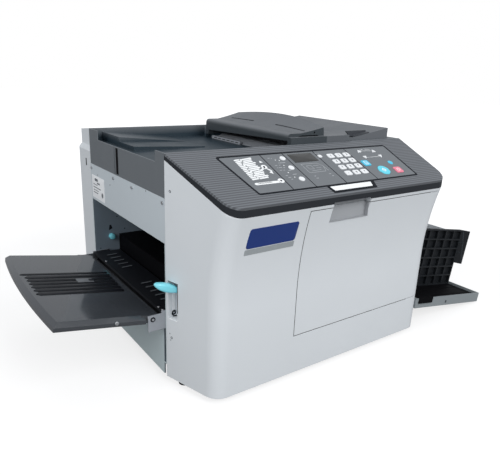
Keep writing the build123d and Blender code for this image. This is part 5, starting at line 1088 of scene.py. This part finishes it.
class DUPLICATOR_OT_feed_fittings(bpy.types.Operator):
    """Makes the ribs and pad of the feed tray, the trim and screws of the table and the round knob"""

    bl_idname = "duplicator.feed_fittings"
    bl_label = "Feed fittings"

    def execute(self, context):
        self.tray_trim()
        self.table_trim()
        self.bracket_screws()
        knob = [(202.2, 3.9), (199.3, 3.9), (199.2, 7.4), (190.0, 7.5)]
        knob += [(188.2, 6.9), (187.4, 5.2), (187.2, 0.3)]
        skin, blue = turned_skin(knob, KNOB_AXIS, 48), finish("lever_blue")
        make_piece("knob", [skin], blue, "separation_knob", ["separation_knob"])
        return {"FINISHED"}

    def tray_trim(self):
        """Seven dark ribs ending in a point, the last narrow and long, and the pad with its notch."""
        pitch, point = 19.0, 7.0
        skins = []
        for index in range(7):
            y = pitch * (index - 3)
            near, far, half = 2.5 - 0.05 * y, 184.0, 7.3
            if index == 6:
                far, half = far + 6.0, half - 3.6
            corners = [(near, y - half), (far - point, y - half), (far, y)]
            corners += [(far - point, y + half), (near - 3.0, y + half)]
            skins.append(raised(round_outline(corners, 0.8, 32), on_tray, SUNK, 1.15, 0.5))
        make_piece("tray_ribs", skins, finish("black_plastic"), "feed_tray")

        pad = round_outline(box_corners((49.0, 84.0), (-3.0, 19.0)), 1.5, 48)
        skin = raised(pad, on_tray, SUNK, 1.9, 0.5)
        make_piece("tray_pad", [skin], finish("lid_grey"), "feed_tray")
        notch = round_outline(box_corners((46.0, 58.0), (2.0, 13.0)), 1.0, 24)
        skin = raised(notch, on_tray, SUNK, 2.3, 0.2)
        make_piece("tray_pad_notch", [skin], finish("print_dark"), "feed_tray")

    def table_trim(self):
        """Screw heads, painted highlights on the tops of the ten ribs, and a near-black strip on the
        table's left edge face.
        """
        places = ((-324.0, 114.6), (-324.5, -178.3), (-323.5, -193.5))
        heads = [circle_outline(place, 2.8, 28) for place in places]
        skins = all_raised(heads, on_level(TABLE_TOP), SUNK, 1.3, 0.9)
        make_piece("table_screws", skins, finish("bright_steel"), "feed_table")

        # Painted highlight: light grey caps on the tops of the ribs
        rows = [end * 103.0 + 24.0 * (index - 2) for end in (-1, 1) for index in range(5)]
        bars = [bar_outline((-295.0, y), 25.0, 4.4) for y in rows]
        skins = all_raised(bars, on_level(TABLE_RIB_TOP), SUNK, 0.35)
        make_piece("table_rib_tops", skins, finish("lid_grey"), "feed_table")

        # A near-black strip laid over the table's left edge face
        skin = raised(box_corners((-186.0, 186.0), (94.0, 116.2)), on_side(TABLE_EDGE), 0.0, 1.4)
        make_piece("table_apron", [skin], finish("deep_black"), "feed_table")

    def bracket_screws(self):
        """Turned screw of the tray, and the ring and screw where the bracket holds it."""
        dome = [(0.1, 3.9), (-0.7, 3.9), (-1.4, 3.2), (-1.7, 0.3)]
        side = turned_skin(dome, (-420.0, -200.7, 119.5), 36)
        make_piece("tray_screw", [side], finish("bright_steel"), "feed_tray")
        hinge = (TRAY_HINGE[0], BRACKET_FACE, TRAY_HINGE[1])
        washer = [(0.1, 5.2), (-0.6, 5.2), (-1.0, 4.6), (-1.0, 3.2), (0.1, 3.0)]
        ring = turned_skin(washer, hinge, 40)
        core = turned_skin([(0.1, 2.9), (-1.4, 2.6), (-1.6, 0.3)], hinge, 32)
        make_piece("bracket_ring", [ring], finish("print_dark"), "feed_table")
        make_piece("bracket_screw", [core], finish("bright_steel"), "feed_table")


class DUPLICATOR_OT_small_marks(bpy.types.Operator):
    """Makes the holes, dots and slots seen on the sheets and covers"""

    bl_idname = "duplicator.small_marks"
    bl_label = "Holes and dots"

    def execute(self, context):
        dark = finish("print_dark")
        places = ((156.0, 326.0), (75.0, 318.0), (-120.0, 345.0))
        holes = all_raised([circle_outline(place, 1.5, 20) for place in places], on_left, SUNK, MARK)
        make_piece("panel_holes", holes, dark, "body")

        discs = (((-260.0, 205.0), 1.6), ((-306.9, 125.5), 1.4), ((-240.5, 170.1), 1.6))
        outlines = [circle_outline(place, radius, 20) for place, radius in discs]
        opening = [(-283.0, 171.0), (-270.5, 170.0), (-273.5, 176.0), (-276.5, 184.5), (-281.0, 185.0)]
        outlines.append(round_outline(opening, 1.0, 32))
        marks = all_raised(outlines, on_wall(PLATE_FACE), SUNK, MARK)
        make_piece("plate_holes", marks, dark, "body")

        rings = [((-216.0, 364.0), 2.4), ((-216.5, 67.0), 2.6)]
        rings += [((-212.0, 75.0), 1.2), ((-214.0, 61.0), 1.2)]
        skins = [self.ring(place, radius) for place, radius in rings]
        make_piece("cover_rings", skins, finish("housing_grey"), "body")

        # Painted shade: a near-black bar in the gap between the two housing sections
        seam = raised(box_corners((19.5, 32.0), (351.5, 408.0)), on_left, SUNK, 0.12)
        make_piece("housing_seam", [seam], finish("deep_black"), "body")

        outline = round_outline(box_corners((235.5, 242.5), (336.0, 354.0)), 1.2, 32)
        slot = raised(outline, on_side(REAR_SIDE), SUNK, MARK)
        make_piece("rear_cover_slot", [slot], dark, "body")
        return {"FINISHED"}

    def ring(self, place, radius):
        """Flat ring on the slanted side, its inner circle a little over half the outer one."""
        inner = circle_outline(place, radius * 0.55, 28)
        return frame_skin(circle_outline(place, radius, 28), inner, on_slant, SUNK, 0.2)


class DUPLICATOR_OT_pull_and_slots(bpy.types.Operator):
    """Paints shade into the door pull and the slots of the lid, and makes the guide that shows under
    the lid
    """

    bl_idname = "duplicator.pull_and_slots"
    bl_label = "Door pull and lid slots"

    def execute(self, context):
        self.pull_lining()
        self.door_seam()
        self.delivery_trim()
        context.view_layer.update()
        # Painted shade in the slots of the lid
        skins = [self.slot_fill(*ends) for ends in ((-173.6, -70.4), (18.4, 115.6))]
        make_piece("lid_slot_floors", skins, finish("print_dark"), "feeder_lid")
        self.exit_guide()
        return {"FINISHED"}

    def pull_lining(self):
        """Painted shade in the pull: thin grey sheets on its back, right cheek and floor on the door,
        and on the back above it.
        """
        sides, heights, deep = (-38.7, 64.7), (302.2, 331.7), -340.9
        wall = on_wall(PULL_BACK)
        back = raised(box_corners(sides, heights), wall, SUNK, PULL_SHADE_THICK)
        cheek = raised(box_corners((-350.0, deep), heights), on_side(PULL_RIGHT), SUNK, PULL_SHADE_THICK)
        ledge = raised(box_corners(sides, (-348.0, deep)), on_level(PULL_FLOOR), SUNK, PULL_SHADE_THICK)
        make_piece("pull_lining", [back, cheek, ledge], finish("shade_grey"), "door")
        back = raised(box_corners(sides, (333.7, 339.7)), wall, SUNK, PULL_SHADE_THICK)
        make_piece("pull_lining_top", [back], finish("shade_grey"), "body")

    def door_seam(self):
        """Dark strips in the gap: up the left edge, along the top beside the pull, and below."""
        left, right = -96.3, 262.0
        over, under = (332.1, 333.3), (60.7, 61.9)
        strips = [((left, -95.1), np.linspace(62.0, 333.3, 48)), ((left, -39.3), over)]
        strips += [((65.3, right), over), ((left, right), under)]
        seams = [self.seam_line(*strip) for strip in strips]
        make_piece("door_seam", seams, finish("deep_black"), "body")

    def seam_line(self, across, levels):
        """Dark strip in the door's gap: rectangles up the levels, just behind the curved front."""
        left, right = across
        x = np.array([left, right, right, left])
        depth = np.array([-1.2, -1.2, -0.1, -0.1])
        return ring_mesh([on_front(x, np.full(4, level), depth) for level in levels])

    def delivery_trim(self):
        """Two short ribs and a long one on the front fence's wing, and the mark on the tray's wall."""
        ends = [((591.3, -242.7, 126.1), (592.0, -258.4, 130.3))]
        ends += [((586.6, -247.0, 98.4), (587.4, -262.5, 103.2))]
        ends += [((597.2, -250.4, 160.8), (582.4, -266.7, 73.8))]
        skins = [self.rib(np.array(begin), np.array(end)) for begin, end in ends]
        make_piece("fence_wing_ribs", skins, finish("lid_side"), "delivery_fence_front")

        mark = bar_outline((455.5, 2.1), 7.0, 8.0)
        skin = raised(mark, on_wall(DELIVERY_FRONT), SUNK, 0.1)
        make_piece("delivery_marks", [skin], finish("lid_side"), "body")

    def rib(self, begin, end):
        """Flat rib on the fence's tilted wing: square to the wing and thin across its own length."""
        out = np.array([-0.985, 0.0, 0.168])
        side = np.cross(end - begin, out)
        side *= 1.2 / np.linalg.norm(side)
        corners = np.array([side - 0.2 * out, -side - 0.2 * out, -side + 0.9 * out, side + 0.9 * out])
        return ring_mesh([place + corners for place in (begin, end)])

    def slot_fill(self, begin, end):
        """Painted shade filling one slot: dark rectangles along y, their tops just over the lid's own
        top.
        """
        left, right, thick = 31.3, 34.7, 1.6
        rings = []
        for y in np.linspace(begin, end, 24):
            top = (self.lid_height(30.6, y) + self.lid_height(35.4, y)) / 2 + 0.05
            low = top - thick
            rings.append([(left, y, low), (right, y, low), (right, y, top), (left, y, top)])
        return ring_mesh(rings)

    def lid_height(self, x, y):
        """Height of the lid's top at a place, by a ray sent down onto its CAD mesh."""
        start_point, down = Vector((x, y, 600.0)) * MM, Vector((0, 0, -1))
        hit, place, _, _ = NODES["feeder_lid"].ray_cast(start_point, down)
        if not hit:
            raise RuntimeError("no lid under the slot")
        return place.z / MM

    def exit_guide(self):
        """Light strip that leads the originals out, with a row of dark slots in its left face."""
        left = -14.0
        guide = raised(box_corners((left, -8.5), (8.0, 138.0)), on_level(403.0), SUNK, 8.0, 0.8)
        make_piece("exit_guide", [guide], finish("bracket_grey"), "body")
        slots = [box_corners((y, y + 13.0), (405.6, 407.6)) for y in np.arange(14.0, 130.0, 20.0)]
        skins = all_raised(slots, on_side(left), SUNK, 0.05)
        make_piece("exit_guide_slots", skins, finish("print_dark"), "body")


class DUPLICATOR_OT_stage(bpy.types.Operator):
    """Makes the pale floor, the soft lights, the world and the camera"""

    bl_idname = "duplicator.stage"
    bl_label = "Stage"

    def execute(self, context):
        scene = context.scene
        scene.view_settings.view_transform = "Standard"
        self.floor(scene)
        self.world(scene)
        self.lights(scene)
        self.camera(scene)
        return {"FINISHED"}

    def seen_directly(self, tree):
        """One for rays straight from the camera, nought for the light that falls on the machine."""
        return put(tree, "ShaderNodeLightPath").outputs["Is Camera Ray"]

    def floor(self, scene):
        """Wide pale floor under the feet, which glows to white as it is seen further out."""
        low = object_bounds()[0]
        reach, glow_near, glow_far = 12.0, 0.9, 2.2
        mesh = bpy.data.meshes.new("floor")
        corners = [(-reach, -reach), (reach, -reach), (reach, reach), (-reach, reach)]
        mesh.from_pydata([(x, y, low.z) for x, y in corners], [], [(0, 1, 2, 3)])
        floor = bpy.data.objects.new("floor", mesh)
        scene.collection.objects.link(floor)
        floor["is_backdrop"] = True
        material, tree, shader, place = start("floor")
        tint = varied(tree, place, (0.30, 0.30, 0.303), 0.02, 3.0)
        tree.links.new(tint, shader.inputs["Base Color"])
        tree.links.new(rough_cloud(tree, place, 0.85, 0.95, 2.0), shader.inputs["Roughness"])
        away = put(tree, "ShaderNodeVectorMath", {0: place}, operation="LENGTH").outputs["Value"]
        level = ranged(tree, away, scene.duplicator_stage.floor_glow, 1.0, glow_near, glow_far)
        glow = reckoned(tree, "MULTIPLY", self.seen_directly(tree), level)
        shader.inputs["Emission Color"].default_value = (1, 1, 1, 1)
        tree.links.new(glow, shader.inputs["Emission Strength"])
        mesh.materials.append(material)

    def world(self, scene):
        """Even light from all round, seen as plain white behind the machine."""
        world = bpy.data.worlds.new("studio")
        scene.world = world
        world.use_nodes = True
        tree = world.node_tree
        sky = tree.nodes["Background"]
        sky.inputs["Color"].default_value = (0.93, 0.96, 1.0, 1)
        sky.inputs["Strength"].default_value = scene.duplicator_stage.world_strength
        seen = put(tree, "ShaderNodeBackground", {"Color": (1, 1, 1, 1), "Strength": 1.0})
        both = {0: self.seen_directly(tree), 1: sky.outputs[0], 2: seen.outputs[0]}
        mix = put(tree, "ShaderNodeMixShader", both)
        tree.links.new(mix.outputs[0], tree.nodes["World Output"].inputs["Surface"])

    def lights(self, scene):
        """Three square soft lights, each turned towards its aim."""
        stage = scene.duplicator_stage
        for name, place, aim, size, power in (
            ("key", (0.4, -2.6, 2.2), (0.0, 0.0, 0.2), 1.8, stage.key_power),
            ("side", (-2.8, -1.0, 1.6), (-0.1, 0.0, 0.2), 1.6, stage.side_power),
            ("top", (-0.3, 0.9, 2.8), (0.0, 0.0, 0.3), 1.8, stage.top_power),
        ):
            lamp = bpy.data.lights.new(name, "AREA")
            lamp.size = size
            lamp.energy = power
            holder = bpy.data.objects.new(name, lamp)
            holder.location = place
            holder.rotation_mode = "QUATERNION"
            holder.rotation_quaternion = (Vector(aim) - Vector(place)).to_track_quat("-Z", "Y")
            scene.collection.objects.link(holder)

    def camera(self, scene):
        """Camera from its turn about the upright, its lift, its roll and the place where it stands."""
        lens = bpy.data.cameras.new("camera")
        lens.sensor_width = 36.0
        lens.lens = scene.duplicator_stage.lens
        camera = bpy.data.objects.new("camera", lens)
        stand = (-0.7249, -1.0331, 0.5774)
        turn, lift, roll = math.radians(-35.9), math.radians(18.1), math.radians(2.3)
        flat = math.cos(lift)
        back = Vector((math.sin(turn) * flat, -math.cos(turn) * flat, math.sin(lift)))
        right = (-back).cross(Vector((0, 0, 1))).normalized()
        up = right.cross(-back)
        across = right * math.cos(roll) + up * math.sin(roll)
        above = up * math.cos(roll) - right * math.sin(roll)
        pose = Matrix((across, above, back)).transposed().to_4x4()
        pose.translation = stand
        camera.matrix_world = pose
        scene.collection.objects.link(camera)
        scene.camera = camera


class DUPLICATOR_PT_looks(bpy.types.Panel):
    """Lists the sizes, the colours and the steps that make the looks"""

    bl_idname = "DUPLICATOR_PT_looks"
    bl_label = "Duplicator"
    bl_space_type = "VIEW_3D"
    bl_region_type = "UI"
    bl_category = "Duplicator"

    def draw(self, context):
        layout = self.layout
        for step in STEPS:
            layout.operator(step.bl_idname)
        for group in GROUPS:
            box = layout.box()
            for field in group.__annotations__:
                box.prop(getattr(context.scene, GROUPS[group]), field)


GROUPS = {
    DuplicatorColours: "duplicator_colours",
    DuplicatorSizes: "duplicator_sizes",
    DuplicatorStage: "duplicator_stage",
}

STEPS = (
    DUPLICATOR_OT_frame_finishes,
    DUPLICATOR_OT_panel_print,
    DUPLICATOR_OT_key_caps,
    DUPLICATOR_OT_plates,
    DUPLICATOR_OT_lock_lever,
    DUPLICATOR_OT_feed_fittings,
    DUPLICATOR_OT_small_marks,
    DUPLICATOR_OT_pull_and_slots,
    DUPLICATOR_OT_stage,
)


def register():
    for cls in (*GROUPS, *STEPS, DUPLICATOR_PT_looks):
        bpy.utils.register_class(cls)
    for cls, name in GROUPS.items():
        setattr(bpy.types.Scene, name, bpy.props.PointerProperty(type=cls))


def unregister():
    for name in GROUPS.values():
        delattr(bpy.types.Scene, name)
    for cls in reversed((*GROUPS, *STEPS, DUPLICATOR_PT_looks)):
        bpy.utils.unregister_class(cls)


def main():
    register()
    bpy.ops.duplicator.frame_finishes()
    bpy.ops.duplicator.panel_print()
    bpy.ops.duplicator.key_caps()
    bpy.ops.duplicator.plates()
    bpy.ops.duplicator.lock_lever()
    bpy.ops.duplicator.feed_fittings()
    bpy.ops.duplicator.small_marks()
    bpy.ops.duplicator.pull_and_slots()
    bpy.ops.duplicator.stage()


if __name__ == "__main__":
    main()
